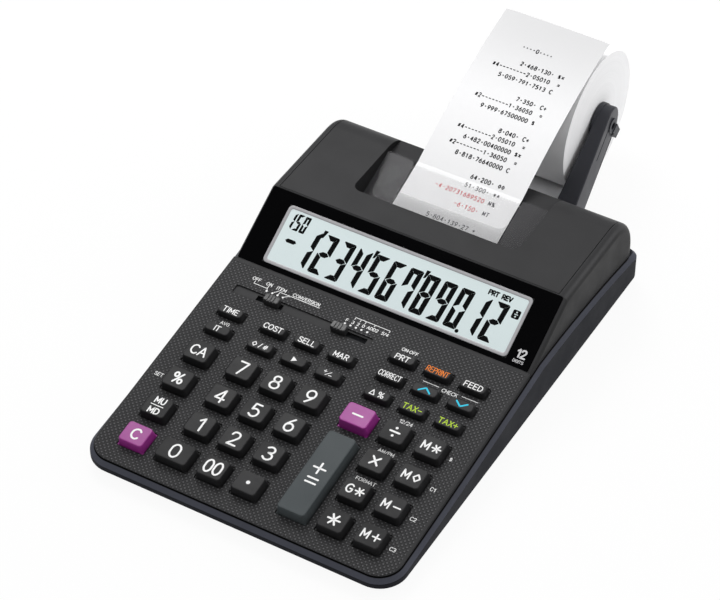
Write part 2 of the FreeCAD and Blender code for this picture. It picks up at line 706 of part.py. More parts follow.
def printer_cover(shell_solid):
    seam = size("cover_seam")
    solid = shell_solid.common(bay_block(-seam, -seam))
    wall = 1.6
    tub = well_space(wall, wall, wall + size("tear_plate_thickness"))
    tub = tub.common(upper_outside()).common(box((-70, 70), (170, 236), (20, 60)))
    solid = solid.fuse(tub)
    solid = solid.cut(well_space(0, 0, 0))
    # the tear plate's own bed, and the window under it that shows the paper
    bed = well_space(0, 0, size("tear_plate_thickness") + 0.1)
    bed = bed.common(box((-60, 60), (170, size("tear_edge_y")), (0, 80)))
    solid = solid.cut(bed)
    half = size("paper_width") / 2 + 0.8
    solid = solid.cut(box((-half, half), (size("well_front_y"), size("tear_edge_y") + 1.5), (20, 46)))
    # paper inlet at the foot of the rear slope
    inlet_half = size("paper_width") / 2 + 1.5
    solid = solid.cut(box((-inlet_half, inlet_half), (230, 260), (10, 30)))
    keep(feature("printer_cover", solid.removeSplitter(), CASE_FRAME), "printer_cover")


def tear_plate():
    """Clear plate over the paper, with a toothed edge between two side ears."""
    angle = math.degrees(well_floor_slope())
    length = (size("tear_edge_y") - size("well_front_y")) / math.cos(well_floor_slope()) - 0.6
    half = size("well_half_width") - 0.5
    cut_half = size("paper_width") / 2 + 1
    cut_depth = 2.6
    pitch = 1.5
    teeth = int(2 * cut_half / pitch)
    start = -teeth * pitch / 2
    points = [(-half, 0.3), (half, 0.3), (half, length), (cut_half + 1, length),
              (cut_half, length - cut_depth)]
    for tooth in reversed(range(teeth)):
        points.append((start + (tooth + 0.5) * pitch, length - cut_depth + 0.7))
        points.append((start + tooth * pitch, length - cut_depth))
    points += [(-cut_half, length - cut_depth), (-cut_half - 1, length), (-half, length)]
    corners = [Vector(x, y, 0) for x, y in points]
    face = Part.Face(Part.makePolygon(corners + [corners[0]]))
    plate = face.extrude(Vector(0, 0, -size("tear_plate_thickness")))
    corners = [edge for edge in plate.Edges if is_upright(edge) and edge.CenterOfMass.y < 1]
    plate = plate.makeFillet(size("well_corner_radius") + 0.3, corners)
    frame = Placement(Vector(0, FRONT + size("well_front_y"), size("well_front_height")),
                      Rotation(Vector(1, 0, 0), angle))
    keep(feature("tear_plate", plate, frame), "tear_plate")


# ---------------------------------------------------------------- display and electronics
def display_window():
    slope = size("display_slope")
    half = size("bezel_width") / 2
    panel = rounded_block((-half, half), (0.5, slope - 0.5), (-size("bezel_thickness"), 0), 1)
    lcd_half = size("lcd_width") / 2 + 0.1
    low = size("lcd_low_edge")
    opening = box((-lcd_half, lcd_half), (low - 0.1, low + size("lcd_slope") + 0.1), (-5, 5))
    keep(feature("display_window", panel.cut(opening), DISPLAY_FRAME), "display_window")


def lcd_panel():
    panel = primitive("Part::Box", "lcd_panel", Length="Sizes.lcd_width", Width="Sizes.lcd_slope",
                      Height="Sizes.lcd_thickness")
    corner = Vector(-size("lcd_width") / 2, size("lcd_low_edge"), -size("lcd_thickness") - 0.3)
    panel.Placement = DISPLAY_FRAME.multiply(Placement(corner, Rotation()))
    keep(panel, "lcd_panel")


def key_field_sheet(node, kind, underside):
    """A flat sheet under the keys: the rubber mat or the circuit board."""
    layer = primitive("Part::Box", node, Length="Sizes.board_width", Width=f"Sizes.{kind}_length",
                      Height=f"Sizes.{kind}_thickness")
    corner = Vector(-size("board_width") / 2, size(f"{kind}_low_edge"), underside)
    layer.Placement = KEYPAD_FRAME.multiply(Placement(corner, Rotation()))
    keep(layer, node)


def electronics():
    under_mat = -size("mat_depth") - size("mat_thickness")
    key_field_sheet("key_mat", "mat", under_mat)
    key_field_sheet("circuit_board", "board", under_mat - size("board_thickness"))


def slide_switch(node, rest_alias):
    """A ribbed knob on a stem that passes through its slot."""
    floor = -size("switch_strip_depth")
    knob = rounded_block((-4, 4), (-2.1, 2.1), (floor + 0.1, floor + 4), 0.9)
    top_edges = [edge for edge in knob.Edges if edge.BoundBox.ZMin > floor + 3.9]
    knob = knob.makeFillet(0.5, top_edges)
    for offset in (-1.6, 0, 1.6):
        knob = knob.cut(box((offset - 0.3, offset + 0.3), (-3, 3), (floor + 3.6, floor + 5)))
    stem = box((-2.1, 2.1), (-1.1, 1.1), (-3.6, floor + 0.5))
    whole = knob.fuse(stem)
    place = Placement(Vector(size(rest_alias), size("switch_row"), 0), Rotation())
    keep(feature(node, whole.removeSplitter(), KEYPAD_FRAME.multiply(place)), node)


# ---------------------------------------------------------------- paper and its carriers
def arm_outline(x_range):
    """Side view of an arm: two discs joined by their common tangents."""
    base = Vector(0, size("hinge_y"), size("hinge_height"))
    tip = Vector(0, size("roll_y"), size("roll_height"))
    along = tip - base
    distance = along.Length
    along.normalize()
    normal = Vector(0, -along.z, along.y)
    lean = math.asin((size("arm_tip_radius") - size("arm_base_radius")) / distance)
    corners = []
    for centre, radius in ((base, size("arm_base_radius")), (tip, size("arm_tip_radius"))):
        corners.append((centre, radius, normal * math.cos(lean) - along * math.sin(lean)))
    upper = [centre + direction * radius for centre, radius, direction in corners]
    under_direction = normal * -math.cos(lean) - along * math.sin(lean)
    under = [centre + under_direction * radius for centre, radius, _ in corners]
    edges = [
        Part.LineSegment(upper[0], upper[1]).toShape(),
        Part.Arc(upper[1], tip + along * size("arm_tip_radius"), under[1]).toShape(),
        Part.LineSegment(under[1], under[0]).toShape(),
        Part.Arc(under[0], base - along * size("arm_base_radius"), upper[0]).toShape(),
    ]
    return side_profile(edges, x_range)


def paper_arm(side):
    """One arm: a tapered lever with hinge pins at its foot and the roll's hub at its tip."""
    inner = size("arm_inner_x")
    base_outer = inner + size("arm_base_thickness")
    tip_outer = inner + size("arm_tip_thickness")
    lever = arm_outline((inner, base_outer))
    base_y = size("hinge_y")
    reach_y = size("roll_y") + size("arm_tip_radius") + 5
    taper = (base_outer - tip_outer) / (size("roll_y") - base_y)
    far_outer = base_outer - taper * (reach_y - base_y)
    corners = [Vector(base_outer, base_y, 0), Vector(far_outer, reach_y, 0),
               Vector(base_outer + 20, reach_y, 0), Vector(base_outer + 20, base_y, 0)]
    wedge = Part.Face(Part.makePolygon(corners + [corners[0]])).extrude(Vector(0, 0, 100))
    lever = lever.cut(wedge)
    lever = lever.makeFillet(size("arm_edge_radius"), lever.Edges)
    pin_reach = size("lug_thickness") + 0.3
    pin = cylinder_along_x(size("hinge_pin_radius"), (inner - pin_reach, base_outer + pin_reach),
                           base_y, size("hinge_height"))
    roll_end = size("roll_width") / 2
    y, z = size("roll_y"), size("roll_height")
    disc = cylinder_along_x(size("hub_disc_radius"), (roll_end + 0.4, inner + 0.5), y, z)
    hub = cylinder_along_x(size("hub_radius"), (roll_end - size("hub_reach"), inner + 0.5), y, z)
    arm = lever.multiFuse([pin, disc, hub])
    # blind hole with its boss on the outer face, the latch across it and two grooves below
    boss = cylinder_along_x(4, (tip_outer - 1, tip_outer + 0.9), y, z)
    slope = math.degrees(math.atan2(z - size("hinge_height"), y - base_y))
    splay = math.degrees(math.atan(taper * math.cos(math.radians(slope))))
    latch = box((tip_outer - 2, tip_outer + 1.4), (-2.2, 2.8), (-10.2, -3))
    grooves = [box((tip_outer - 0.9, tip_outer + 3), (-21, -4), (low, low + 1)) for low in (-8.2, 2.3)]
    for groove in grooves:
        groove.rotate(Vector(tip_outer, 0, 0), Vector(0, 0, 1), splay)
    for shape in [latch] + grooves:
        shape.rotate(Vector(), Vector(1, 0, 0), slope)
        shape.translate(Vector(0, y, z))
    arm = arm.cut(Part.makeCompound(grooves)).multiFuse([boss, latch])
    arm = arm.cut(cylinder_along_x(2, (tip_outer - 3, tip_outer + 3), y, z))
    if side < 0:
        arm = arm.mirror(Vector(), Vector(1, 0, 0))
    return arm.removeSplitter()


def paper_arms():
    both = Part.makeCompound([paper_arm(side) for side in (-1, 1)])
    keep(feature("paper_arms", both, CASE_FRAME), "paper_arms")


def paper_roll():
    roll = primitive("Part::Cylinder", "roll_paper", Radius="Sizes.roll_radius", Height="Sizes.roll_width")
    bore = primitive("Part::Cylinder", "roll_bore", Radius="Sizes.roll_bore_radius",
                     Height="Sizes.roll_width + 4")
    bore.Placement.Base.z = -2
    whole = doc.addObject("Part::Cut", "paper_roll")
    whole.Base = roll
    whole.Tool = bore
    whole.Placement = Placement(Vector(), Rotation(Vector(0, 1, 0), 90))
    bind(whole, **{"Placement.Base.x": "-Sizes.roll_width / 2",
                   "Placement.Base.y": "Sizes.front_edge_y + Sizes.roll_y",
                   "Placement.Base.z": "Sizes.roll_height"})
    keep(whole, "paper_roll")


def bowed_sheet(first, last, bulge, thickness, half_width):
    """A sheet that follows one arc seen from the side, with its upper face on the arc."""
    dy, dz = last[0] - first[0], last[1] - first[1]
    chord = math.hypot(dy, dz)
    normal = (-dz / chord, dy / chord)
    middle = ((first[0] + last[0]) / 2 + normal[0] * bulge, (first[1] + last[1]) / 2 + normal[1] * bulge)
    lower = [(y - normal[0] * thickness, z - normal[1] * thickness) for y, z in (first, middle, last)]
    edges = [arc(first, middle, last), line(last, lower[2]), arc(lower[2], lower[1], lower[0]),
             line(lower[0], first)]
    return side_profile(edges, (-half_width, half_width))


def paper_strip():
    strip = bowed_sheet((size("strip_start_y"), size("strip_start_height")),
                        (size("strip_end_y"), size("strip_end_height")), size("strip_bulge"),
                        size("strip_thickness"), size("paper_width") / 2)
    keep(feature("paper_strip", strip, CASE_FRAME), "paper_strip")


# ---------------------------------------------------------------- printer and base fittings
def printer_mechanism():
    """Chassis of the printer: a base between two side plates, with print drum and motor."""
    half = size("chassis_half_width")
    y_range = (size("chassis_front_y"), size("chassis_rear_y"))
    base = size("chassis_base")
    plate = size("chassis_plate")
    body = box((-half, half), y_range, (base, base + plate))
    for side in (-1, 1):
        x_range = sorted((side * half, side * (half + plate)))
        cheek = box(x_range, (y_range[0], 206), (base, base + size("chassis_side_height")))
        body = body.fuse(cheek)
    drum = cylinder_along_x(size("drum_radius"), (-half - 0.5, half + 0.5), size("drum_y"), size("drum_height"))
    motor_x = (-half + 2, -half + 2 + size("motor_length"))
    motor_y = size("motor_y")
    motor = cylinder_along_x(size("motor_radius"), motor_x, motor_y, size("motor_height"))
    motor = motor.fuse(box(motor_x, (motor_y - 7, motor_y + 7), (base + 0.5, size("motor_height"))))
    body = body.multiFuse([drum, motor])
    for x in (-half + 4, half - 4):
        for y in (186, 226):
            body = body.fuse(Part.makeCylinder(2.5, base - CASE_FLOOR + 0.5, Vector(x, y, CASE_FLOOR)))
    axle = size("feed_axle_radius") + 0.08
    reach = half + 5
    body = body.cut(cylinder_along_x(axle, (-reach, reach), size("feed_roller_y"), size("feed_roller_height")))
    keep(feature("printer_mechanism", body.removeSplitter(), CASE_FRAME), "printer_mechanism")


def feed_roller():
    half = size("chassis_half_width")
    roller = primitive("Part::Cylinder", "feed_roller_sleeve", Radius="Sizes.feed_roller_radius",
                       Height="2 * Sizes.chassis_half_width - 4")
    axle = primitive("Part::Cylinder", "feed_roller_axle", Radius="Sizes.feed_axle_radius",
                     Height="2 * Sizes.chassis_half_width + 4")
    roller.Placement.Base.z = 2 - half
    axle.Placement.Base.z = -half - 2
    whole = doc.addObject("Part::Fuse", "feed_roller")
    whole.Base = roller
    whole.Tool = axle
    whole.Placement = Placement(Vector(), Rotation(Vector(0, 1, 0), 90))
    bind(whole, **{"Placement.Base.y": "Sizes.front_edge_y + Sizes.feed_roller_y",
                   "Placement.Base.z": "Sizes.feed_roller_height"})
    keep(whole, "feed_roller")


def battery_cover():
    half = size("hatch_half_width")
    top = size("case_bottom") - size("hatch_gap")
    low = top - size("hatch_thickness")
    plate = rounded_block((-half, half), (size("hatch_front_y"), size("hatch_rear_y")), (low, top), 0.8)
    ribs = [box((-9, 9), (156 + step * 2.2, 157 + step * 2.2), (low - 1, low + 0.5)) for step in range(4)]
    plate = plate.cut(Part.makeCompound(ribs))
    keep(feature("battery_cover", plate, CASE_FRAME), "battery_cover")


def rubber_feet():
    feet = []
    for x in (-size("foot_side"), size("foot_side")):
        for y in (size("foot_front_y"), size("foot_rear_y")):
            foot = Part.makeCylinder(size("foot_radius"), size("case_bottom"), Vector(x, y, 0))
            low = [edge for edge in foot.Edges if edge.BoundBox.ZMax < 0.01]
            feet.append(foot.makeFillet(0.8, low))
    keep(feature("rubber_feet", Part.makeCompound(feet), CASE_FRAME), "rubber_feet")


# ---------------------------------------------------------------- build everything
for entry in KEYS:
    key(*entry)
lower_case()
shell_of_upper = upper_outside().cut(upper_inside())
upper_case(shell_of_upper)
printer_cover(shell_of_upper)
tear_plate()
display_window()
lcd_panel()
electronics()
slide_switch("power_switch", "power_switch_x")
slide_switch("decimal_switch", "decimal_switch_x")
paper_arms()
paper_roll()
paper_strip()
printer_mechanism()
feed_roller()
battery_cover()
rubber_feet()
doc.recompute()

# ---------------------------------------------------------------- checks and export
for obj in doc.Objects:
    if "Invalid" in obj.State or "Error" in obj.State:
        raise RuntimeError(f"{obj.Name} failed: {obj.State}")
for obj in parts:
    if obj.Shape.isNull() or not obj.Shape.isValid():
        raise RuntimeError(f"{obj.Label} has no valid shape")

os.makedirs("parts", exist_ok=True)
for obj in parts:
    obj.Shape.exportStep(f"parts/{obj.Label}.step")
print(f"{len(parts)} parts written")
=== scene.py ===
import math

import bmesh
import bpy
from bpy.props import FloatProperty, FloatVectorProperty, PointerProperty
from bpy.types import Operator, Panel, PropertyGroup
from mathutils import Matrix, Vector


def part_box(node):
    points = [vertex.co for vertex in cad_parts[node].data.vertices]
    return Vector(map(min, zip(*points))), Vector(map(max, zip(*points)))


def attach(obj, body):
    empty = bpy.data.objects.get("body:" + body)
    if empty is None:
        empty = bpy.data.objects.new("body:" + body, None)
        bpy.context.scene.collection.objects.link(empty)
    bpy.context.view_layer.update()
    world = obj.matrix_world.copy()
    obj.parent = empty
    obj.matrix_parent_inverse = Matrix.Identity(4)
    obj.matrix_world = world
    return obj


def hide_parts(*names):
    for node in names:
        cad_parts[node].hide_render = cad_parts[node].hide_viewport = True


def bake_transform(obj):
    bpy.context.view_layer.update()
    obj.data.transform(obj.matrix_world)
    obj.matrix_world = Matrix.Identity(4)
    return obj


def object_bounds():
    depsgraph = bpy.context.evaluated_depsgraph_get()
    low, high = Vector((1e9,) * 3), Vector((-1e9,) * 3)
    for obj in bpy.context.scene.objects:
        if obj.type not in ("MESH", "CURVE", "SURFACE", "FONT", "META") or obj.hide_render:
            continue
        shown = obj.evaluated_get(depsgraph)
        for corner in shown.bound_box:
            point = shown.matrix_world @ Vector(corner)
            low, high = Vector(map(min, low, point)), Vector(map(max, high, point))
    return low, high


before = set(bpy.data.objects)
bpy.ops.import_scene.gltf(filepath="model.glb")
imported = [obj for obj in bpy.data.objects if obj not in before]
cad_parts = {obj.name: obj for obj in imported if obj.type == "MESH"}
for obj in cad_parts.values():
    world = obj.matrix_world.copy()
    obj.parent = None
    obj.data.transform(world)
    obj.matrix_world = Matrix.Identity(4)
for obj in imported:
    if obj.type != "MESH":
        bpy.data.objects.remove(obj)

bl_info = {
    "name": "Desk Printing Calculator",
    "version": (1, 0, 0),
    "blender": (4, 5, 0),
    "location": "3D View > Sidebar > Calculator",
    "description": "Finishes, printing and fine parts of a desk calculator that prints on a paper roll",
    "category": "Add Mesh",
}

CAD_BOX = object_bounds()
MM = 0.001
KEYS = sorted(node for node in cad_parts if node.startswith("key_") and node != "key_mat")


def seen(red, green, blue):
    """A colour written as it looks on a screen, 0 to 255, turned into linear light."""
    return tuple(v / 255 / 12.92 if v < 11 else ((v / 255 + 0.055) / 1.055) ** 2.4 for v in (red, green, blue))


# ---------------------------------------------------------------- settings
def colour(name, description, red, green, blue):
    return FloatVectorProperty(name=name, description=description, subtype="COLOR", size=3,
                               min=0, max=1, default=seen(red, green, blue))


def length(name, description, millimetres):
    return FloatProperty(name=name, description=description, unit="LENGTH", subtype="DISTANCE",
                         min=0, default=millimetres * MM)


def power(name, description, watts):
    return FloatProperty(name=name, description=description, subtype="POWER", unit="POWER", default=watts, min=0)


class CalculatorColours(PropertyGroup):
    lower_case: colour("Lower case", "Blue-black moulding of the lower case and the battery hatch", 36, 37, 42)
    upper_case: colour("Upper case", "Charcoal moulding of the key field and the printer cover", 51, 51, 52)
    key_dark: colour("Dark keys", "Cap of the number and function keys", 34, 34, 35)
    key_purple: colour("Purple keys", "Cap of the clear key and the minus key", 146, 44, 132)
    key_grey: colour("Grey key", "Cap of the tall plus key", 68, 73, 75)
    bezel: colour("Bezel", "Black back printing of the display window", 1, 1, 2)
    lcd: colour("Display", "Ground of the liquid crystal display", 219, 232, 233)
    lcd_ink: colour("Segments", "Segments of the liquid crystal display", 4, 5, 6)
    lcd_frame: colour("Display frame", "Silver frame round the display", 168, 167, 170)
    white_ink: colour("White legends", "Legends on keys and case", 238, 238, 238)
    green_ink: colour("Green legends", "Legends of the two tax keys", 176, 206, 52)
    orange_ink: colour("Orange legend", "Legend of the reprint key", 232, 124, 28)
    blue_ink: colour("Blue legends", "Arrows of the two check keys", 40, 196, 226)
    arm: colour("Roll arms", "Blue-black moulding of the arms that hold the roll", 47, 48, 54)
    paper: colour("Paper", "Paper strip and roll", 246, 246, 247)
    black_print: colour("Black print", "Figures printed on the strip", 26, 26, 30)
    red_print: colour("Red print", "Negative figures printed on the strip", 228, 104, 108)
    plate: colour("Tear plate", "Smoked clear plate over the paper", 120, 119, 123)


class CalculatorSizes(PropertyGroup):
    weave_pitch: length("Weave pitch", "Period of the diamond texture of the key field", 2.5)
    weave_depth: length("Weave depth", "Height of its dots", 0.34)
    ink_height: length("Ink height", "How far printed legends stand off", 0.05)
    large_stroke: length("Large legend stroke", "Pen of the figures on the full size keys", 1.1)
    medium_stroke: length("Medium legend stroke", "Pen of the letters on the full size keys", 0.88)
    small_stroke: length("Small legend stroke", "Pen of the words on the function keys", 0.53)
    panel_stroke: length("Panel legend stroke", "Pen of the words on the key field", 0.32)
    segment_digit_height: length("Display digit height", "Large digits of the display", 20.5)
    segment_digit_width: length("Display digit width", "Large digits of the display", 7.0)
    segment_stroke: length("Display stroke", "Segments of the large digits", 2.6)
    segment_pitch: length("Display pitch", "From one large digit to the next", 9.19)
    print_height: length("Print height", "Figures on the paper strip", 2.7)
    paper_thickness: length("Paper thickness", "Paper strip", 0.12)


class CalculatorStage(PropertyGroup):
    azimuth: FloatProperty(name="Azimuth", description="Camera direction round the object", subtype="ANGLE",
                           default=math.radians(30.291))
    elevation: FloatProperty(name="Elevation", description="Camera height above the horizon", subtype="ANGLE",
                             default=math.radians(43.022))
    distance: length("Distance", "Camera to the point it looks at", 1363.0)
    target: FloatVectorProperty(name="Target", description="Point that the camera looks at", subtype="TRANSLATION",
                                unit="LENGTH", size=3, default=(-18.08 * MM, -26.66 * MM, 22 * MM))
    lens: FloatProperty(name="Lens", description="Focal length in millimetres", default=143.18, min=1)
    shift_x: FloatProperty(name="Shift X", description="Sideways shift of the frame", default=0.00566)
    shift_y: FloatProperty(name="Shift Y", description="Upward shift of the frame", default=-0.0020)
    sky: FloatProperty(name="Surround", description="Strength of the even light from all round", default=0.56, min=0)
    overhead: power("Overhead lamp", "Large soft lamp above, behind the left", 6.0)
    back: power("Back lamp", "Soft lamp behind, at the left", 1.5)
    right: power("Right lamp", "Soft lamp at the right", 6.0)


def sizes():
    return bpy.context.scene.calculator_sizes


def colours():
    return bpy.context.scene.calculator_colours


# ---------------------------------------------------------------- places taken from the CAD model
def leading_face(node):
    """Lean and height offset of the largest flat area of a node that looks up, from its own mesh."""
    planes = {}
    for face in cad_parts[node].data.polygons:
        normal = face.normal
        if normal.z > 0.5 and abs(normal.x) < 0.01:
            lean = math.atan2(-normal.y, normal.z)
            offset = normal.dot(face.center)
            total = planes.setdefault((round(math.degrees(lean), 1), round(offset, 4)), Vector((0, 0, 0)))
            total += Vector((1, lean, offset)) * face.area
    area, lean, offset = max(planes.values(), key=lambda total: total[0])
    return lean / area, offset / area


def slope_frame(node, start_y):
    """Frame on that area: X across, Y up the slope from start_y, Z off the surface."""
    lean, offset = leading_face(node)
    height = (offset + math.sin(lean) * start_y) / math.cos(lean)
    return Matrix.Translation((0, start_y, height)) @ Matrix.Rotation(lean, 4, "X")


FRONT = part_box("lower_case")[0].y
FIELD_LENGTH = 131.5 * MM  # key field, from the front edge to the window
PLATE_FOOT = 183.3 * MM  # foot of the tear plate, from the front edge
KEY_FIELD = slope_frame("upper_case", FRONT)
DISPLAY = slope_frame("display_window", FRONT + FIELD_LENGTH)
PLATE = slope_frame("tear_plate", FRONT + PLATE_FOOT)

# Opening of the silver frame round the display, in the window's own frame
LCD_HALF_WIDTH = 66.2 * MM
LCD_LOW, LCD_HIGH = 3.1 * MM, 34.3 * MM
LCD_CORNER = 2.3 * MM

# Side view of the printed strip, as (y, z) of its ends and the height of its arc
TEAR_EDGE = Vector((FRONT + 220 * MM, 45.6 * MM))
STRIP_END = Vector((FRONT + 309.5 * MM, 81 * MM))
STRIP_RISE = 3 * MM


def key_top(node):
    """Middle and size of a key's flat top, in the key field's frame."""
    inward = KEY_FIELD.inverted()
    points = [inward @ vertex.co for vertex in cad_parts[node].data.vertices]
    height = max(point.z for point in points)
    top = [point for point in points if point.z > height - 0.02 * MM]
    low = Vector(min(point[axis] for point in top) for axis in range(3))
    high = Vector(max(point[axis] for point in top) for axis in range(3))
    return (low + high) / 2, high - low


# ---------------------------------------------------------------- meshes
def piece(name, mesh, body, material, smooth=None):
    """A finished piece at the origin that rides on a CAD body. Edges below the angle smooth shade soft."""
    if isinstance(mesh, bmesh.types.BMesh):
        made = bpy.data.meshes.new(name)
        mesh.to_mesh(made)
        mesh.free()
        mesh = made
    mesh.name = name
    thing = bpy.data.objects.new(name, mesh)
    bpy.context.scene.collection.objects.link(thing)
    mesh.materials.clear()
    mesh.materials.append(material)
    if smooth is not None:
        mesh.shade_smooth()
        mesh.set_sharp_from_angle(angle=math.radians(smooth))
    if body:
        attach(thing, body)
    return thing


def in_mm(*points):
    """Points written in millimetres."""
    return [tuple(value * MM for value in point) for point in points]


def moved(bm, matrix, verts=None):
    bmesh.ops.transform(bm, matrix=matrix, verts=verts or bm.verts)
    return bm


def thickened(bm, thickness):
    bmesh.ops.solidify(bm, geom=bm.faces[:], thickness=thickness)


def outwards(bm):
    bmesh.ops.recalc_face_normals(bm, faces=bm.faces)


def pulled(bm, faces, height):
    """Raise faces along Z as the top of a solid, and return the verts of that top."""
    grown = bmesh.ops.extrude_face_region(bm, geom=faces)["geom"]
    top = [item for item in grown if isinstance(item, bmesh.types.BMVert)]
    bmesh.ops.translate(bm, vec=(0, 0, height), verts=top)
    return top


def bevelled(bm, edges, width, segments=2):
    return bmesh.ops.bevel(bm, geom=edges, offset=width, segments=segments, profile=0.5,
                           affect="EDGES", material=-1, clamp_overlap=True)


def rounded_plate(bm, low, high, radius):
    """A flat plate with round corners on the XY plane of bm, from two corners."""
    made = bmesh.ops.create_grid(bm, x_segments=1, y_segments=1, size=0.5)["verts"]
    width, depth = high[0] - low[0], high[1] - low[1]
    bmesh.ops.scale(bm, vec=(width, depth, 1), verts=made)
    bmesh.ops.translate(bm, vec=((low[0] + high[0]) / 2, (low[1] + high[1]) / 2, 0), verts=made)
    bmesh.ops.bevel(bm, geom=made, offset=radius, segments=4, profile=0.5, affect="VERTICES", material=-1)


def round_corner(x, y, radius, start, turn, steps=6):
    """Points of an arc about x, y from an angle through a turn, in degrees."""
    angles = [math.radians(start + turn * step / steps) for step in range(steps + 1)]
    return [(x + radius * math.cos(angle), y + radius * math.sin(angle)) for angle in angles]


def round_rectangle(half_width, low, high, radius):
    """Points of a rectangle with round corners, the same number whatever its size."""
    return (round_corner(half_width - radius, high - radius, radius, 0, 90)
            + round_corner(radius - half_width, high - radius, radius, 90, 90)
            + round_corner(radius - half_width, low + radius, radius, 180, 90)
            + round_corner(half_width - radius, low + radius, radius, 270, 90))


def band(bm, rows, closed=True):
    """Join rows of points, each with as many points as the next, by strips of faces."""
    made = [[bm.verts.new(point) for point in row] for row in rows]
    for first, second in zip(made, made[1:]):
        count = len(first)
        for place in range(count if closed else count - 1):
            after = (place + 1) % count
            bm.faces.new((first[place], first[after], second[after], second[place]))
    return made


# Round-ended letters drawn with one pen, on a grid six units tall. A point with ! is a sharp corner,
# o closes the line and | starts the next one.
LETTERS = {
    "0": "1.95,6 3.4,5 3.75,3 3.4,1 1.95,0 .5,1 .15,3 .5,5 o",
    "1": "0.5,4.5! 2.1,6! 2.1,0!",
    "2": ".3,4.6 .9,5.7 2,6 3.2,5.5 3.5,4.4 2.9,3.1 .2,0! 3.8,0!",
    "3": ".4,5.3 1.9,6 3.3,5.3 3.2,3.8 1.5,3.15! 3.2,2.7 3.7,1.5 2.8,.2 1.4,0 .2,.8",
    "4": "2.9,0! 2.9,6! .1,1.7! 4,1.7!",
    "5": "3.4,6! .8,6! .5,3.2! 1.9,3.75 3.3,3.1 3.6,1.8 2.8,.3 1.4,0 .2,.7",
    "6": "2.9,6! 1.1,3.9 .3,2.2 .6,.7 1.9,0 3.2,.6 3.7,1.9 3.1,3.2 1.9,3.6 .9,3.1",
    "7": ".2,6! 3.7,6! 1.4,0!",
    "8": "1.95,3.3 3.2,4 3.2,5.4 1.95,6 .7,5.4 .7,4 o|1.95,3.3 3.5,2.5 3.6,.9 1.95,0 .3,.9 .4,2.5 o",
    "9": "1,0! 2.8,2.1 3.6,3.8 3.3,5.3 2,6 .7,5.4 .2,4.1 .8,2.8 2,2.4 3,2.9",
    "A": "0,0! 2.2,6! 4.4,0!|.75,2! 3.65,2!",
    "C": "4.3,5 3.5,5.8 2.6,6 .9,5.1 .25,3 .9,.9 2.6,0 3.5,.2 4.3,1",
    "D": ".4,0! .4,6! 1.7,6! 3.6,5.1 4.2,3 3.6,.9 1.7,0! .4,0!",
    "E": "3.6,6! .4,6! .4,0! 3.6,0!|.4,3.1! 3.2,3.1!",
    "F": "3.5,6! .4,6! .4,0!|.4,3! 3,3!",
    "G": "4.2,5.1 3.4,5.8 2.5,6 .9,5.1 .25,3 .9,.9 2.5,0 3.7,.4 4.3,1.2! 4.3,2.8! 2.7,2.8!",
    "H": ".4,0! .4,6!|4,0! 4,6!|.4,3.1! 4,3.1!",
    "I": ".4,0! .4,6!",
    "K": ".4,0! .4,6!|3.8,6! .4,2.4!|1.6,3.7! 4,0!",
    "L": ".4,6! .4,0! 3.4,0!",
    "M": ".4,0! .4,6! 2.6,1.4! 4.8,6! 4.8,0!",
    "N": ".4,0! .4,6! 4,0! 4,6!",
    "O": "2.5,6 4.2,5 4.8,3 4.2,1 2.5,0 .8,1 .2,3 .8,5 o",
    "P": ".4,0! .4,6! 2.3,6! 3.7,5.4 3.7,3.6 2.3,2.9! .4,2.9!",
    "R": ".4,0! .4,6! 2.3,6! 3.7,5.4 3.7,3.6 2.3,2.9! .4,2.9!|2.2,2.9! 4,0!",
    "S": "3.6,5.2 2.2,6 .6,5.5 .5,4.1 2,3.2 3.6,2.3 3.6,.7 2,0 .2,.8",
    "T": "0,6! 4.2,6!|2.1,0! 2.1,6!",
    "U": ".4,6! .4,1.9 1,.5 2.2,0 3.4,.5 4,1.9 4,6!",
    "V": "0,6! 2.1,0! 4.2,6!",
    "X": ".2,6! 3.8,0!|3.8,6! .2,0!",
    "%": "1.1,6 2,5.3 2,4.1 1.1,3.4 .2,4.1 .2,5.3 o|4.3,2.6 5.2,1.9 5.2,.7 4.3,0 3.4,.7 3.4,1.9 o|4.4,6! 1,0!",
    "+": "2.1,.9! 2.1,5.1!|0,3! 4.2,3!",
    "-": "0.2,3! 3.7,3!",
    "=": ".1,4.1! 4,4.1!|.1,2.1! 4,2.1!",
    "x": ".4,4.9! 3.8,1.1!|3.8,4.9! .4,1.1!",
    "*": "0,3! 4.6,3!|1.15,5! 3.45,1!|3.45,5! 1.15,1!",
    "/": "2.6,6! .3,0!",
    "#": "1,.6! 2,5.4!|2.6,.6! 3.6,5.4!|.4,3.9! 4.2,3.9!|.2,2.1! 4,2.1!",
    "$": "3.5,4.6 2,5.3 .7,4.8 .7,3.7 2,3.1 3.4,2.5 3.4,1.3 2,.7 .3,1.3|2,6! 2,0!",
    "<": "2.1,5.6! 4.2,3! 2.1,.4! 0,3! o",
    "^": ".2,.9! 5.2,5.1! 10.2,.9!",
    "v": ".2,5.1! 5.2,.9! 10.2,5.1!",
    "~": "2.1,5.6! 4.3,.6! -.1,.6! o",
}
LETTER_GAP = 1.25
SPACE = 3.0


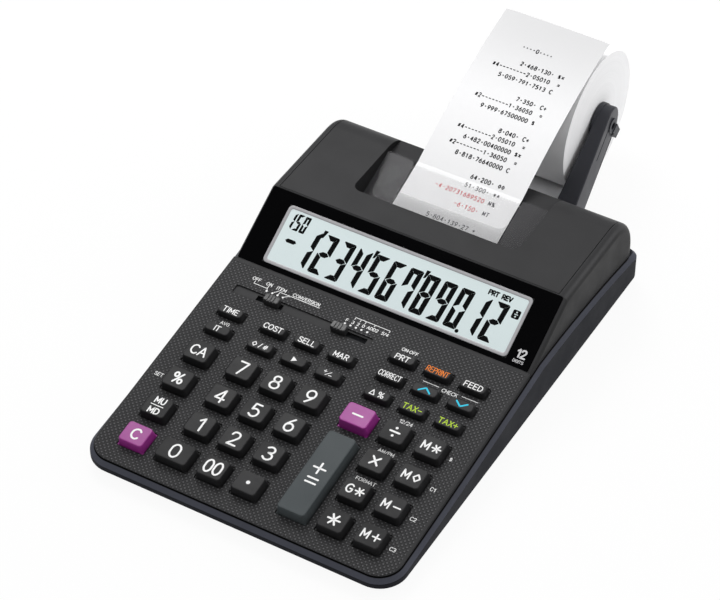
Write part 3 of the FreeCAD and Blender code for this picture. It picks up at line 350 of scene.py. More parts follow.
def pen_lines(text, pitch=None):
    """The pen's lines for one row of text, and the width of the row, in units of the letters' grid.

    With a pitch, every character takes the same width.
    """
    lines, pen, dots = [], 0.0, []
    for place, letter in enumerate(text):
        if pitch:
            pen = place * pitch
        if letter == " ":
            pen += SPACE
        elif letter in ".:":
            dots.append((pen + (1.9 if pitch else 0.5), {".": 0.25, ":": 3.0}[letter]))
            pen += 1 + LETTER_GAP
        else:
            drawn = []
            for line in LETTERS[letter].split("|"):
                words = line.split()
                closed = words[-1] == "o"
                numbers = [word.rstrip("!").split(",") for word in (words[:-1] if closed else words)]
                drawn.append(([(float(x), float(y), word.endswith("!")) for (x, y), word in zip(numbers, words)],
                              closed))
            widest = max(x for points, _ in drawn for x, _, _ in points)
            squeeze = min(1, 3.9 / widest) if pitch and widest else 1
            lines += [([(pen + x * squeeze, y, sharp) for x, y, sharp in points], closed)
                      for points, closed in drawn]
            pen += widest + LETTER_GAP
    return lines, dots, len(text) * pitch - LETTER_GAP if pitch else max(pen - LETTER_GAP, 0)


def pen_runs(points, closed):
    """Cut one line of the pen at its sharp corners, so that each run keeps its full width."""
    if closed and not any(sharp for _, _, sharp in points):
        return [(points, True)]
    runs, run = [], []
    for point in points + points[:1] if closed else points:
        run.append(point)
        if point[2] and len(run) > 1:
            runs.append((run, False))
            run = [point]
    if len(run) > 1:
        runs.append((run, False))
    return runs


def lettering(rows, stroke, thickness, fine=True, pitch=None):
    """A bmesh of rows of text drawn with a round pen, flattened to the thickness of ink.

    Each row is (text, x, y, height, widest, align), y its middle. A row wider than widest is squeezed.
    """
    curve = bpy.data.curves.new("pen", "CURVE")
    curve.dimensions = "3D"
    curve.bevel_depth = stroke / 2
    curve.bevel_resolution = 1 if fine else 0
    curve.resolution_u = 4 if fine else 2
    curve.use_fill_caps = True
    knots = []
    for text, x, y, height, widest, align in rows:
        lines, dots, width = pen_lines(text, pitch)
        scale_y = (height - stroke) / 6
        scale_x = scale_y * 0.86 if pitch else scale_y
        if widest:
            scale_x = min(scale_x, (widest - stroke) / width)
        left = x - {"left": 0, "centre": 0.5, "right": 1}[align] * width * scale_x
        base = y - (height - stroke) / 2
        for points, closed in (run for line in lines for run in pen_runs(*line)):
            spline = curve.splines.new("BEZIER")
            spline.bezier_points.add(len(points) - 1)
            spline.use_cyclic_u = closed
            for knot, (px, py, sharp) in zip(spline.bezier_points, points):
                knot.co = (left + px * scale_x, base + py * scale_y, 0)
                knot.handle_left_type = knot.handle_right_type = "VECTOR" if sharp else "AUTO"
            if not closed:
                knots += [((left + px * scale_x, base + py * scale_y, 0), 1.0)
                          for px, py, _ in (points[0], points[-1])]
        knots += [((left + px * scale_x, base + py * scale_y, 0), 1.45 if fine else 1.75) for px, py in dots]
    holder = bpy.data.objects.new("pen", curve)
    bpy.context.scene.collection.objects.link(holder)
    bpy.context.view_layer.update()
    drawn = bpy.data.meshes.new_from_object(holder.evaluated_get(bpy.context.evaluated_depsgraph_get()))
    bm = bmesh.new()
    bm.from_mesh(drawn)
    bpy.data.objects.remove(holder)
    bpy.data.curves.remove(curve)
    bpy.data.meshes.remove(drawn)
    for place, size in knots:
        if fine or size > 1:
            bmesh.ops.create_uvsphere(bm, u_segments=8 if fine else 6, v_segments=4 if fine else 3,
                                      radius=stroke / 2 * size, matrix=Matrix.Translation(place))
    bmesh.ops.scale(bm, vec=(1, 1, thickness / (stroke / 2)), verts=bm.verts)
    return bm


# ---------------------------------------------------------------- node groups
class Wiring:
    """Adds nodes to one node tree and joins them."""

    def __init__(self, tree):
        self.tree = tree

    def add(self, kind, settings=None, **inputs):
        node = self.tree.nodes.new(kind)
        for name, value in (settings or {}).items():
            setattr(node, name, value)
        return self.give(node, **inputs)

    def give(self, node, **inputs):
        """Feed a node's inputs by their names, with _ for a space."""
        for name, value in inputs.items():
            self.feed(node.inputs[name.replace("_", " ")], value)
        return node

    def feed(self, socket, value):
        if isinstance(value, bpy.types.NodeSocket):
            self.tree.links.new(value, socket)
        elif socket.type == "RGBA" and len(value) == 3:
            socket.default_value = (*value, 1)
        else:
            socket.default_value = value

    def maths(self, operation, first, second=None, clamp=False):
        node = self.add("ShaderNodeMath", {"operation": operation, "use_clamp": clamp})
        for socket, value in zip(node.inputs, (first, second)):
            if value is not None:
                self.feed(socket, value)
        return node.outputs[0]

    def times(self, first, second):
        return self.maths("MULTIPLY", first, second)

    def plus(self, first, second, clamp=False):
        return self.maths("ADD", first, second, clamp=clamp)

    def minus(self, first, second):
        return self.maths("SUBTRACT", first, second)

    def vector(self, operation, first, second=None, output=0):
        node = self.add("ShaderNodeVectorMath", {"operation": operation})
        for socket, value in zip(node.inputs, (first, second)):
            if value is not None:
                self.feed(socket, value)
        return node.outputs[output]

    def split(self, vector):
        return self.add("ShaderNodeSeparateXYZ", Vector=vector).outputs

    def joined(self, **parts):
        return self.add("ShaderNodeCombineXYZ", **parts).outputs[0]

    def length(self, **parts):
        return self.vector("LENGTH", self.joined(**parts), output=1)

    def facing(self):
        return self.add("ShaderNodeNewGeometry").outputs["Normal"]

    def upward(self):
        """How far the surface faces up, 1 where it is level."""
        return self.split(self.facing())[2]

    def past_corner(self, x, y, reach_x, reach_y, radius):
        """Distance from the middle of the nearest round corner of a rectangle, 0 beside its straight edges."""
        past = [self.maths("MAXIMUM", self.minus(self.maths("ABSOLUTE", place), self.minus(reach, radius)), 0.0)
                for place, reach in ((x, reach_x), (y, reach_y))]
        return self.length(X=past[0], Y=past[1])

    def ramp(self, value, low, high, to_low=0.0, to_high=1.0, smooth=True):
        kind = {"interpolation_type": "SMOOTHSTEP" if smooth else "LINEAR"}
        node = self.add("ShaderNodeMapRange", kind, Value=value, From_Min=low, From_Max=high, To_Min=to_low,
                        To_Max=to_high)
        return node.outputs[0]

    def mix(self, share, first, second):
        node = self.add("ShaderNodeMix", {"data_type": "RGBA"})
        for socket, value in zip((node.inputs[0], node.inputs[6], node.inputs[7]), (share, first, second)):
            self.feed(socket, value)
        return node.outputs[2]

    def blended(self, share, first, second):
        """Two shaders mixed."""
        node = self.add("ShaderNodeMixShader")
        for socket, value in zip(node.inputs, (share, first.outputs[0], second.outputs[0])):
            self.feed(socket, value)
        return node.outputs[0]

    def noise(self, vector, scale, detail=2.0, roughness=0.5):
        return self.add("ShaderNodeTexNoise", Vector=vector, Scale=scale, Detail=detail,
                        Roughness=roughness).outputs["Fac"]

    def place(self, tree_name, **inputs):
        """One of the shared effects below."""
        return self.add("ShaderNodeGroup", {"node_tree": bpy.data.node_groups[tree_name]}, **inputs).outputs

    def object_place(self):
        return self.add("ShaderNodeTexCoord").outputs["Object"]

    def in_frame(self, matrix):
        """Object coordinates seen from a frame of the CAD model, by a Mapping node."""
        inward = matrix.inverted()
        mapping = self.add("ShaderNodeMapping", {"vector_type": "POINT"}, Vector=self.object_place())
        mapping.inputs["Location"].default_value = inward.to_translation()
        mapping.inputs["Rotation"].default_value = inward.to_euler()
        return mapping.outputs[0]


def effect(name, inputs, outputs):
    """An empty shared effect. Inputs and outputs are (name, kind, default)."""
    tree = bpy.data.node_groups.new(name, "ShaderNodeTree")
    for direction, sockets in (("INPUT", inputs), ("OUTPUT", outputs)):
        for socket_name, kind, default in sockets:
            socket = tree.interface.new_socket(socket_name, in_out=direction, socket_type=f"NodeSocket{kind}")
            if default is not None:
                socket.default_value = default
    wiring = Wiring(tree)
    return wiring, wiring.add("NodeGroupInput").outputs, wiring.add("NodeGroupOutput")


def grain_effect():
    """Fine spark-eroded grain of a moulding, with slow changes of tone."""
    w, given, out = effect("Moulded grain", [("Vector", "Vector", None), ("Size", "Float", 0.0004)],
                           [("Height", "Float", None), ("Tone", "Float", None)])
    scale = w.maths("DIVIDE", 1.0, given["Size"])
    fine = w.noise(given["Vector"], scale, detail=2.5, roughness=0.6)
    slow = w.noise(given["Vector"], w.times(scale, 0.012), detail=3.0)
    w.give(out, Height=fine, Tone=w.ramp(w.plus(w.times(fine, 0.35), w.times(slow, 0.65)), 0.3, 0.7))


def weave_effect():
    """Staggered rows of small raised dots, as pressed into the key field."""
    w, given, out = effect("Diamond weave", [("Vector", "Vector", None), ("Pitch", "Float", 0.0025)],
                           [("Height", "Float", None), ("Crown", "Float", None)])
    waves = [w.maths("COSINE", w.times(w.maths("DIVIDE", part, given["Pitch"]), math.tau))
             for part in w.split(given["Vector"])[:2]]
    field = w.times(*waves)
    w.give(out, Height=w.ramp(field, -0.35, 0.9), Crown=w.ramp(field, 0.25, 0.85))


def edge_effect():
    """Softened edges: a normal rolled over the edge, and a mask of where it is."""
    w, given, out = effect("Soft edges", [("Radius", "Float", 0.0004)],
                           [("Normal", "Vector", None), ("Edge", "Float", None)])
    rolled = w.add("ShaderNodeBevel", {"samples": 4}, Radius=given["Radius"]).outputs[0]
    w.give(out, Normal=rolled, Edge=w.ramp(w.vector("DOT_PRODUCT", rolled, w.facing(), output=1), 0.99, 0.8))


def handling_effect():
    """Dust that has settled on level places, and faint marks from hands."""
    w, given, out = effect("Handling", [("Vector", "Vector", None)],
                           [("Dust", "Float", None), ("Smudge", "Float", None)])
    level = w.ramp(w.upward(), 0.3, 1.0)
    specks = w.ramp(w.noise(given["Vector"], 2300.0), 0.6, 0.75)
    marks = w.ramp(w.noise(given["Vector"], 38.0, detail=4.0, roughness=0.65), 0.35, 0.7)
    w.give(out, Dust=w.times(level, specks), Smudge=marks)


def fibre_effect():
    """Fibres and formation clouds of plain printing paper."""
    w, given, out = effect("Paper fibre", [("Vector", "Vector", None)],
                           [("Height", "Float", None), ("Tone", "Float", None)])
    stretched = w.vector("MULTIPLY", given["Vector"], (1.0, 0.35, 0.35))
    fibres = w.noise(stretched, 2600.0, detail=3.0, roughness=0.6)
    clouds = w.noise(given["Vector"], 260.0, detail=3.0)
    w.give(out, Height=fibres, Tone=w.ramp(w.plus(w.times(fibres, 0.4), w.times(clouds, 0.6)), 0.3, 0.7))


def ink_effect():
    """Uneven coverage of pad-printed or ribbon-printed ink."""
    w, given, out = effect("Ink coverage", [("Vector", "Vector", None), ("Size", "Float", 0.0003)],
                           [("Cover", "Float", None)])
    blots = w.noise(given["Vector"], w.maths("DIVIDE", 1.0, given["Size"]))
    w.give(out, Cover=w.ramp(blots, 0.25, 0.55))


# ---------------------------------------------------------------- finishes
DUST = (0.35, 0.34, 0.33)
WALL_SHADE = 0.5  # painted shade of the side faces of the upper case and cover, against their tops
# painted highlight on the rounded shoulder of the upper case and cover
SHOULDER_HIGHLIGHT_GAIN = 1.3


def node_of(tree, kind="BSDF_PRINCIPLED"):
    return next(node for node in tree.nodes if node.type == kind)


def finish(name, roughness=0.5, **plain):
    """A new material with one Principled shader. Plain values are set on its own sockets."""
    material = bpy.data.materials.new(name)
    material.use_nodes = True
    w = Wiring(material.node_tree)
    return material, w, w.give(node_of(w.tree), Roughness=roughness, **plain)


def shade(base, factor):
    return tuple(min(1.0, value * factor) for value in base)


def shoulders(w, tone, side, highlight_gain):
    """Painted shade and highlight: side faces darker than the top by the side factor, and the rounded shoulder
    between them paler, a painted highlight.
    """
    upward = w.upward()
    # painted shade: faces that look sideways are darker than level ones
    wall_shade_paint = w.mix(w.ramp(upward, 0.05, 0.7), w.vector("MULTIPLY", tone, (side, side, side)), tone)
    # painted highlight: the rounded shoulder, half way between side and top, is paler
    shoulder_highlight_paint = w.times(w.ramp(upward, 0.4, 0.68), w.ramp(upward, 0.94, 0.82))
    return w.mix(shoulder_highlight_paint, wall_shade_paint, w.vector("MULTIPLY", tone, (highlight_gain, highlight_gain, highlight_gain)))


def moulding(name, base, roughness, grain=0.45, depth=0.03, edge=0.35, edge_highlight_gain=1.6, **plain):
    """Moulded plastic. grain and edge in millimetres; the edge factor is how much paler the edges are, for wear and
    as a painted highlight.
    """
    material, w, shader = finish(name, roughness, **plain)
    where = w.object_place()
    grained = w.place("Moulded grain", Vector=where, Size=grain * MM)
    edges = w.place("Soft edges", Radius=edge * MM)
    marks = w.place("Handling", Vector=where)
    tone = w.mix(grained["Tone"], shade(base, 0.9), shade(base, 1.1))
    # paler edges: wear, and a painted highlight along them
    edge_wear_and_highlight = w.mix(w.times(edges["Edge"], 0.6), tone, shade(base, edge_highlight_gain))
    dusty = w.mix(w.times(marks["Dust"], 0.02), edge_wear_and_highlight, DUST)
    rough = w.plus(roughness - 0.05, w.times(marks["Smudge"], 0.1))
    bump = w.add("ShaderNodeBump", Strength=0.5, Distance=depth * MM, Height=grained["Height"],
                 Normal=edges["Normal"])
    w.give(shader, Base_Color=dusty, Roughness=rough, Normal=bump.outputs[0])
    return material


def parting_shadow(material):
    """Paint shade on the rim of the lower case close to the foot of the upper case, where their gap lies in shade;
    the side faces also get a little painted shade and the bevel a strong painted highlight.
    """
    w = Wiring(material.node_tree)
    shader = node_of(w.tree)
    tone = shader.inputs["Base Color"].links[0].from_socket
    low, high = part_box("upper_case")
    middle, half = (low + high) / 2, (high - low) / 2
    x, y = w.split(w.object_place())[:2]
    radius = w.ramp(y, middle.y - 40 * MM, middle.y + 40 * MM, 11.8 * MM, 9 * MM)
    corner = w.past_corner(w.minus(x, middle.x), w.minus(y, middle.y), half.x, half.y, radius)
    gap = w.ramp(w.minus(corner, radius), 0.3 * MM, 0.55 * MM)
    # painted shadow in the gap; side faces slightly darker and the bevel much paler, painted shade and highlight
    w.give(shader, Base_Color=w.mix(gap, (0.001, 0.001, 0.001), shoulders(w, tone, 0.85, 3.6)))


def key_field_moulding():
    """The upper case: plain grain, and the pressed weave where the surface lies in the key field. The weave's crowns
    are painted paler as a highlight, the side faces carry painted shade, and the rounded shoulder and the edges
    carry painted highlights.
    """
    base = colours().upper_case
    material, w, shader = finish("upper case moulding", 0.48, Specular_IOR_Level=0.3, IOR=1.22)
    where = w.object_place()
    local = w.in_frame(KEY_FIELD)
    x, up, off = w.split(local)
    level = w.times(w.ramp(off, -0.25 * MM, -0.1 * MM), w.ramp(off, 0.25 * MM, 0.1 * MM))
    ahead = w.times(w.ramp(up, 2.2 * MM, 2.8 * MM), w.ramp(up, FIELD_LENGTH - 0.1 * MM, FIELD_LENGTH - 0.7 * MM))
    inside = w.ramp(w.maths("ABSOLUTE", x), 79.2 * MM, 78.7 * MM)
    field = w.times(w.times(level, ahead), inside)
    grained = w.place("Moulded grain", Vector=where, Size=0.4 * MM)
    woven = w.place("Diamond weave", Vector=local, Pitch=sizes().weave_pitch)
    edges = w.place("Soft edges", Radius=0.35 * MM)
    marks = w.place("Handling", Vector=where)
    plain = w.mix(grained["Tone"], shade(base, 0.92), shade(base, 1.08))
    # painted highlight: the crowns of the weave's dots paler than the pits, standing for the light they catch
    dots = w.mix(woven["Crown"], shade(base, 1.0), shade(base, 3.2))
    # outside the key field: painted shade on the side faces and a painted highlight on the rounded shoulder
    tone = w.mix(field, shoulders(w, plain, WALL_SHADE, SHOULDER_HIGHLIGHT_GAIN), dots)
    # paler edges: wear, and a painted highlight along them
    edge_wear_and_highlight = w.mix(w.times(edges["Edge"], 0.4), tone, shade(base, 1.5))
    dusty = w.mix(w.times(marks["Dust"], 0.02), edge_wear_and_highlight, DUST)
    rough = w.plus(0.42, w.times(marks["Smudge"], 0.1))
    grain = w.add("ShaderNodeBump", Strength=0.4, Distance=0.02 * MM, Height=grained["Height"],
                  Normal=edges["Normal"])
    weave = w.add("ShaderNodeBump", Strength=1.0, Distance=sizes().weave_depth,
                  Height=w.times(woven["Height"], field), Normal=grain.outputs[0])
    w.give(shader, Base_Color=dusty, Roughness=rough, Normal=weave.outputs[0])
    return material


def ink(name, base, size=0.3, roughness=0.5, **plain):
    """Printed ink, a little uneven. size in millimetres."""
    material, w, shader = finish(name, roughness, **{"Specular_IOR_Level": 0.15, **plain})
    cover = w.place("Ink coverage", Vector=w.object_place(), Size=size * MM)["Cover"]
    w.give(shader, Base_Color=w.mix(cover, shade(base, 0.86), base),
           Roughness=w.ramp(cover, 0, 1, roughness + 0.1, roughness - 0.05))
    return material


def gloss_black():
    """Display window: clear moulding with black printed behind, so smooth and deep."""
    base = colours().bezel
    material, w, shader = finish("display window", 0.12, Specular_IOR_Level=0.03)
    marks = w.place("Handling", Vector=w.object_place())
    edges = w.place("Soft edges", Radius=0.3 * MM)
    w.give(shader, Base_Color=w.mix(w.times(marks["Dust"], 0.01), base, (0.3, 0.3, 0.3)),
           Roughness=w.ramp(marks["Smudge"], 0, 1, 0.08, 0.2), Normal=edges["Normal"])
    return material


def lcd_ground():
    """Display ground: pale silver-green reflector under glass, darker towards its rim with a painted shadow of the
    frame.
    """
    base = colours().lcd
    material, w, shader = finish("display ground", 0.3, Specular_IOR_Level=0.3)
    x, up = w.split(w.in_frame(DISPLAY))[:2]
    up = w.minus(up, (LCD_LOW + LCD_HIGH) / 2)
    # painted shadow: the ground darker within about a millimetre of the frame that stands round it
    rim = w.ramp(w.maths("MINIMUM", *[w.minus(reach * MM, w.maths("ABSOLUTE", place))
                                      for reach, place in ((65, x), (15, up))]), -0.1 * MM, 0.9 * MM)
    speckle = w.noise(w.object_place(), 5200.0, detail=1.0)
    ground = w.mix(speckle, shade(base, 0.97), shade(base, 1.02))
    shown = w.mix(rim, shade(base, 0.55), ground)
    blur = 0.05 * MM
    corner = w.past_corner(x, up, LCD_HALF_WIDTH - blur, (LCD_HIGH - LCD_LOW) / 2 - blur, LCD_CORNER)
    outside = w.ramp(corner, LCD_CORNER, LCD_CORNER + blur)
    w.give(shader, Base_Color=w.mix(outside, shown, colours().bezel),
           Roughness=w.ramp(speckle, 0.3, 0.7, 0.26, 0.36))
    return material


def paper_finish(name, ends=False, painted_top_shade_span=None):
    """Uncoated printing paper. With ends, the wound edge of a roll shows its turns.

    The last argument gives two heights between which the paper turns greyer towards the top: painted shade.
    """
    base = colours().paper
    material, w, shader = finish(name, 0.85, Specular_IOR_Level=0.3)
    where = w.object_place()
    fibre = w.place("Paper fibre", Vector=where)
    tone = w.mix(fibre["Tone"], shade(base, 0.985), base)
    height = w.times(fibre["Height"], 0.3)
    if painted_top_shade_span:
        # painted shade: the paper greyer towards the top end of the strip
        tone = w.mix(w.ramp(w.split(where)[2], *painted_top_shade_span), tone, shade(base, 0.72))
    if ends:
        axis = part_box("paper_roll")
        middle = (axis[0] + axis[1]) / 2
        x, y, z = w.split(w.vector("SUBTRACT", where, middle))
        away = w.length(Y=y, Z=z)
        half = axis[1].x - 0.05 * MM
        on_end = w.ramp(w.maths("ABSOLUTE", x), half - 0.5 * MM, half - 0.2 * MM)
        rings = w.noise(w.joined(X=away), 1500.0, detail=3.0, roughness=0.7)
        bands = w.noise(w.joined(X=away), 170.0)
        turns = w.ramp(w.plus(w.times(rings, 0.6), w.times(bands, 0.4)), 0.3, 0.7)
        tone = w.mix(on_end, tone, w.mix(turns, shade(base, 0.9), shade(base, 0.99)))
        height = w.plus(height, w.times(w.times(rings, on_end), 1.5))
    rough = w.ramp(fibre["Height"], 0.2, 0.8, 0.92, 0.8)
    bump = w.add("ShaderNodeBump", Strength=0.35, Distance=0.03 * MM, Height=height)
    w.give(shader, Base_Color=tone, Roughness=rough, Normal=bump.outputs[0])
    return material


def clear_plastic():
    """Tear plate: thin clear sheet, seen more at a glance and at its edges than straight on."""
    base = colours().plate
    material, w, shader = finish("clear plate", 0.12)
    marks = w.place("Handling", Vector=w.object_place())
    edges = w.place("Soft edges", Radius=0.3 * MM)
    tone = w.mix(marks["Smudge"], shade(base, 0.9), base)
    rough = w.ramp(marks["Smudge"], 0, 1, 0.06, 0.18)
    glance = w.add("ShaderNodeFresnel", IOR=1.45).outputs[0]
    sheen = w.times(w.times(glance, 0.5), w.ramp(w.upward(), 0.6, 0.85))
    w.give(shader, Base_Color=tone, Roughness=rough, Alpha=w.plus(sheen, 0.07, clamp=True),
           Normal=edges["Normal"])
    return material


def silver_frame():
    """Brushed silver frame round the display."""
    base = colours().lcd_frame
    material, w, shader = finish("display frame", 0.38, Specular_IOR_Level=0.5)
    brushed = w.noise(w.vector("MULTIPLY", w.object_place(), (0.05, 1.0, 1.0)), 4000.0)
    w.give(shader, Base_Color=w.mix(brushed, shade(base, 0.92), shade(base, 1.05)),
           Roughness=w.ramp(brushed, 0.2, 0.8, 0.32, 0.45))
    return material


def board_finish():
    """Circuit board: green mask over copper tracks."""
    material, w, shader = finish("circuit board", 0.35)
    where = w.object_place()
    cells = w.add("ShaderNodeTexBrick", {"offset": 0.5}, Vector=where, Scale=140.0, Color1=(0.02, 0.12, 0.05),
                  Color2=(0.015, 0.09, 0.04), Mortar=(0.05, 0.2, 0.07), Mortar_Size=0.03).outputs["Color"]
    w.give(shader, Base_Color=w.mix(w.noise(where, 400.0), cells, (0.02, 0.1, 0.045)),
           Roughness=w.ramp(w.noise(where, 90.0), 0.3, 0.7, 0.3, 0.45))
    return material


def steel(name, base, roughness):
    """Plated metal with fine turning marks."""
    material, w, shader = finish(name, roughness, Metallic=1.0)
    turned = w.noise(w.vector("MULTIPLY", w.object_place(), (0.1, 1.0, 1.0)), 3000.0)
    edges = w.place("Soft edges", Radius=0.2 * MM)
    w.give(shader, Base_Color=w.mix(turned, shade(base, 0.85), base),
           Roughness=w.ramp(turned, 0.2, 0.8, roughness - 0.06, roughness + 0.12), Normal=edges["Normal"])
    return material


# ---------------------------------------------------------------- CAD nodes
def dress(material, *nodes):
    for node in nodes:
        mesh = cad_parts[node].data
        mesh.materials.clear()
        mesh.materials.append(material)


class CaseMouldings(Operator):
    """Give the two case halves, the hatch, the cover, the switches and the feet their finish"""
    bl_idname = "calculator.case_mouldings"
    bl_label = "Case Mouldings"

    def execute(self, context):
        given = colours()
        lower = moulding("lower case moulding", given.lower_case, 0.55, grain=0.35, depth=0.02, edge=0.4,
                         edge_highlight_gain=1.8, Specular_IOR_Level=0.2, IOR=1.18)
        parting_shadow(lower)
        dress(lower, "lower_case", "battery_cover")
        dress(key_field_moulding(), "upper_case")
        cover = moulding("cover moulding", given.upper_case, 0.46, grain=0.4, depth=0.02, edge=0.4,
                         edge_highlight_gain=1.35, Specular_IOR_Level=0.3, IOR=1.22)
        # the cover: painted shade on its side faces and a painted highlight on its rounded shoulder
        w = Wiring(cover.node_tree)
        shader = node_of(w.tree)
        tone = shader.inputs["Base Color"].links[0].from_socket
        w.give(shader, Base_Color=shoulders(w, tone, WALL_SHADE, SHOULDER_HIGHLIGHT_GAIN))
        dress(cover, "printer_cover")
        dress(moulding("switch moulding", seen(40, 40, 41), 0.45, grain=0.3, edge=0.2), "power_switch",
              "decimal_switch")
        dress(moulding("foot rubber", seen(34, 34, 35), 0.8, grain=0.5, depth=0.06, edge=0.3), "rubber_feet",
              "feed_roller")
        dress(moulding("key mat rubber", seen(70, 72, 76), 0.7, grain=0.6), "key_mat")
        dress(moulding("mechanism moulding", seen(58, 58, 60), 0.5, grain=0.4), "printer_mechanism")
        dress(moulding("arm moulding", given.arm, 0.44, grain=0.35, depth=0.02, edge=0.35, edge_highlight_gain=1.7,
                       Specular_IOR_Level=0.25), "paper_arms")
        dress(board_finish(), "circuit_board")
        dress(gloss_black(), "display_window")
        dress(lcd_ground(), "lcd_panel")
        dress(clear_plastic(), "tear_plate")
        dress(paper_finish("roll paper", ends=True), "paper_roll")
        return {"FINISHED"}


class KeyMouldings(Operator):
    """Give every key its satin cap"""
    bl_idname = "calculator.key_mouldings"
    bl_label = "Key Mouldings"

    def execute(self, context):
        kinds = {"purple": ("key_clear", "key_minus"), "grey": ("key_plus_equals",)}
        kinds["dark"] = [node for node in KEYS if node not in kinds["purple"] + kinds["grey"]]
        # each row: kind, roughness, how much paler the edges are (wear and a painted highlight), and specular level
        for kind, roughness, highlight_gain, gloss in (("dark", 0.42, 2.2, 0.12), ("purple", 0.4, 1.45, 0.4),
                                             ("grey", 0.42, 1.45, 0.08)):
            dress(moulding(f"{kind} key moulding", getattr(colours(), f"key_{kind}"), roughness, grain=0.5,
                           depth=0.02, edge_highlight_gain=highlight_gain, Specular_IOR_Level=gloss), *kinds[kind])
        return {"FINISHED"}


# ---------------------------------------------------------------- legends on the keys
# Rows of each legend: text, x, y, height and greatest width in millimetres from the middle of the key's top.
KEY_LEGENDS = {
    "key_clear": [("C", 0, 0, 6.6, 0)],
    "key_mark_up": [("MU", 0, 3.1, 3.9, 0), ("MD", 0, -3.1, 3.9, 0)],
    "key_percent": [("%", 0, 0, 6.8, 0)],
    "key_clear_all": [("CA", 0, 0, 6.0, 8.9)],
    "key_item_average": [("IT", 0, -0.2, 3.4, 0)],
    "key_time": [("TIME", 0, 0, 3.4, 9.9)],
    "key_non_add": [("<", -2.9, 0, 3.5, 0), ("/", 0.1, 0, 3.2, 0), ("#", 2.9, 0, 3.2, 0)],
    "key_cost": [("COST", 0, 0, 3.4, 10.2)],
    "key_sell": [("SELL", 0, 0, 3.4, 9.3)],
    "key_margin": [("MAR", 0, 0, 3.4, 9.2)],
    "key_00": [("00", 0, 0, 7.9, 9.4)],
    "key_plus_equals": [("+", 0, 2.6, 9.6, 0), ("=", 0, -4.9, 9.0, 0)],
    "key_minus": [("-", 0, 0, 9.6, 0)],
    "key_delta_percent": [("~", -2.3, 0, 3.9, 0), ("%", 2.0, 0, 3.6, 0)],
    "key_correct": [("CORRECT", 0, 0, 3.4, 11.9)],
    "key_print": [("PRT", 0, -0.3, 3.5, 7.8)],
    "key_total": [("*", 0, 0, 8.8, 0)],
    "key_grand_total": [("G", -2.5, 0, 5.2, 0), ("*", 2.7, 0, 6.3, 0)],
    "key_multiply": [("x", 0, 0, 7.8, 0)],
    "key_divide": [("-", 0, 0, 9.2, 0)],
    "key_tax_minus": [("TAX-", 0, 0, 3.4, 10.2)],
    "key_tax_plus": [("TAX+", 0, 0, 3.4, 10.2)],
    "key_check_up": [("^", 0, 0, 4.3, 8.6)],
    "key_check_down": [("v", 0, 0, 4.3, 8.6)],
    "key_reprint": [("REPRINT", 0, 0, 3.4, 11.7)],
    "key_feed": [("FEED", 0, 0, 3.5, 9.9)],
    "key_memory_total": [("M", -2.6, 0, 5.2, 0), ("*", 2.9, 0, 6.3, 0)],
    "key_memory_subtotal": [("M", -2.5, 0, 5.2, 0), ("<", 2.9, 0, 5.6, 0)],
    "key_memory_minus": [("M", -2.6, 0, 5.2, 0), ("-", 3.0, 0, 6.6, 0)],
    "key_memory_plus": [("M", -2.6, 0, 5.2, 0), ("+", 3.0, 0, 6.2, 0)],
}
KEY_LEGENDS.update({f"key_{figure}": [(str(figure), 0, 0, 8.3, 0)] for figure in range(10)})
INKS = {"key_tax_minus": "green", "key_tax_plus": "green", "key_reprint": "orange", "key_check_up": "blue",
        "key_check_down": "blue"}


def centred(*rows):
    """Rows for lettering from (text, x, y, height, widest) in millimetres."""
    return [(text, *(value * MM for value in measures), "centre") for text, *measures in rows]


def dot(bm, x, y, radius, thickness, segments=20):
    """A round printed dot."""
    place = Matrix.Translation((x, y, 0)) @ Matrix.Diagonal((1, 1, thickness / radius, 1))
    bmesh.ops.create_uvsphere(bm, u_segments=segments, v_segments=6, radius=radius, matrix=place)


def bar(bm, first, last, width, thickness):
    """A printed line with round ends."""
    made = bmesh.ops.create_cube(bm, size=1)["verts"]
    span = Vector((last[0] - first[0], last[1] - first[1], 0))
    turn = Matrix.Rotation(math.atan2(span.y, span.x), 4, "Z")
    place = Matrix.Translation(((first[0] + last[0]) / 2, (first[1] + last[1]) / 2, 0))
    moved(bm, place @ turn @ Matrix.Diagonal((span.length, width, 2 * thickness, 1)), made)
    upright = {edge for vert in made for edge in vert.link_edges
               if abs(edge.verts[0].co.z - edge.verts[1].co.z) > thickness}
    bevelled(bm, list(upright), width * 0.45, 3)


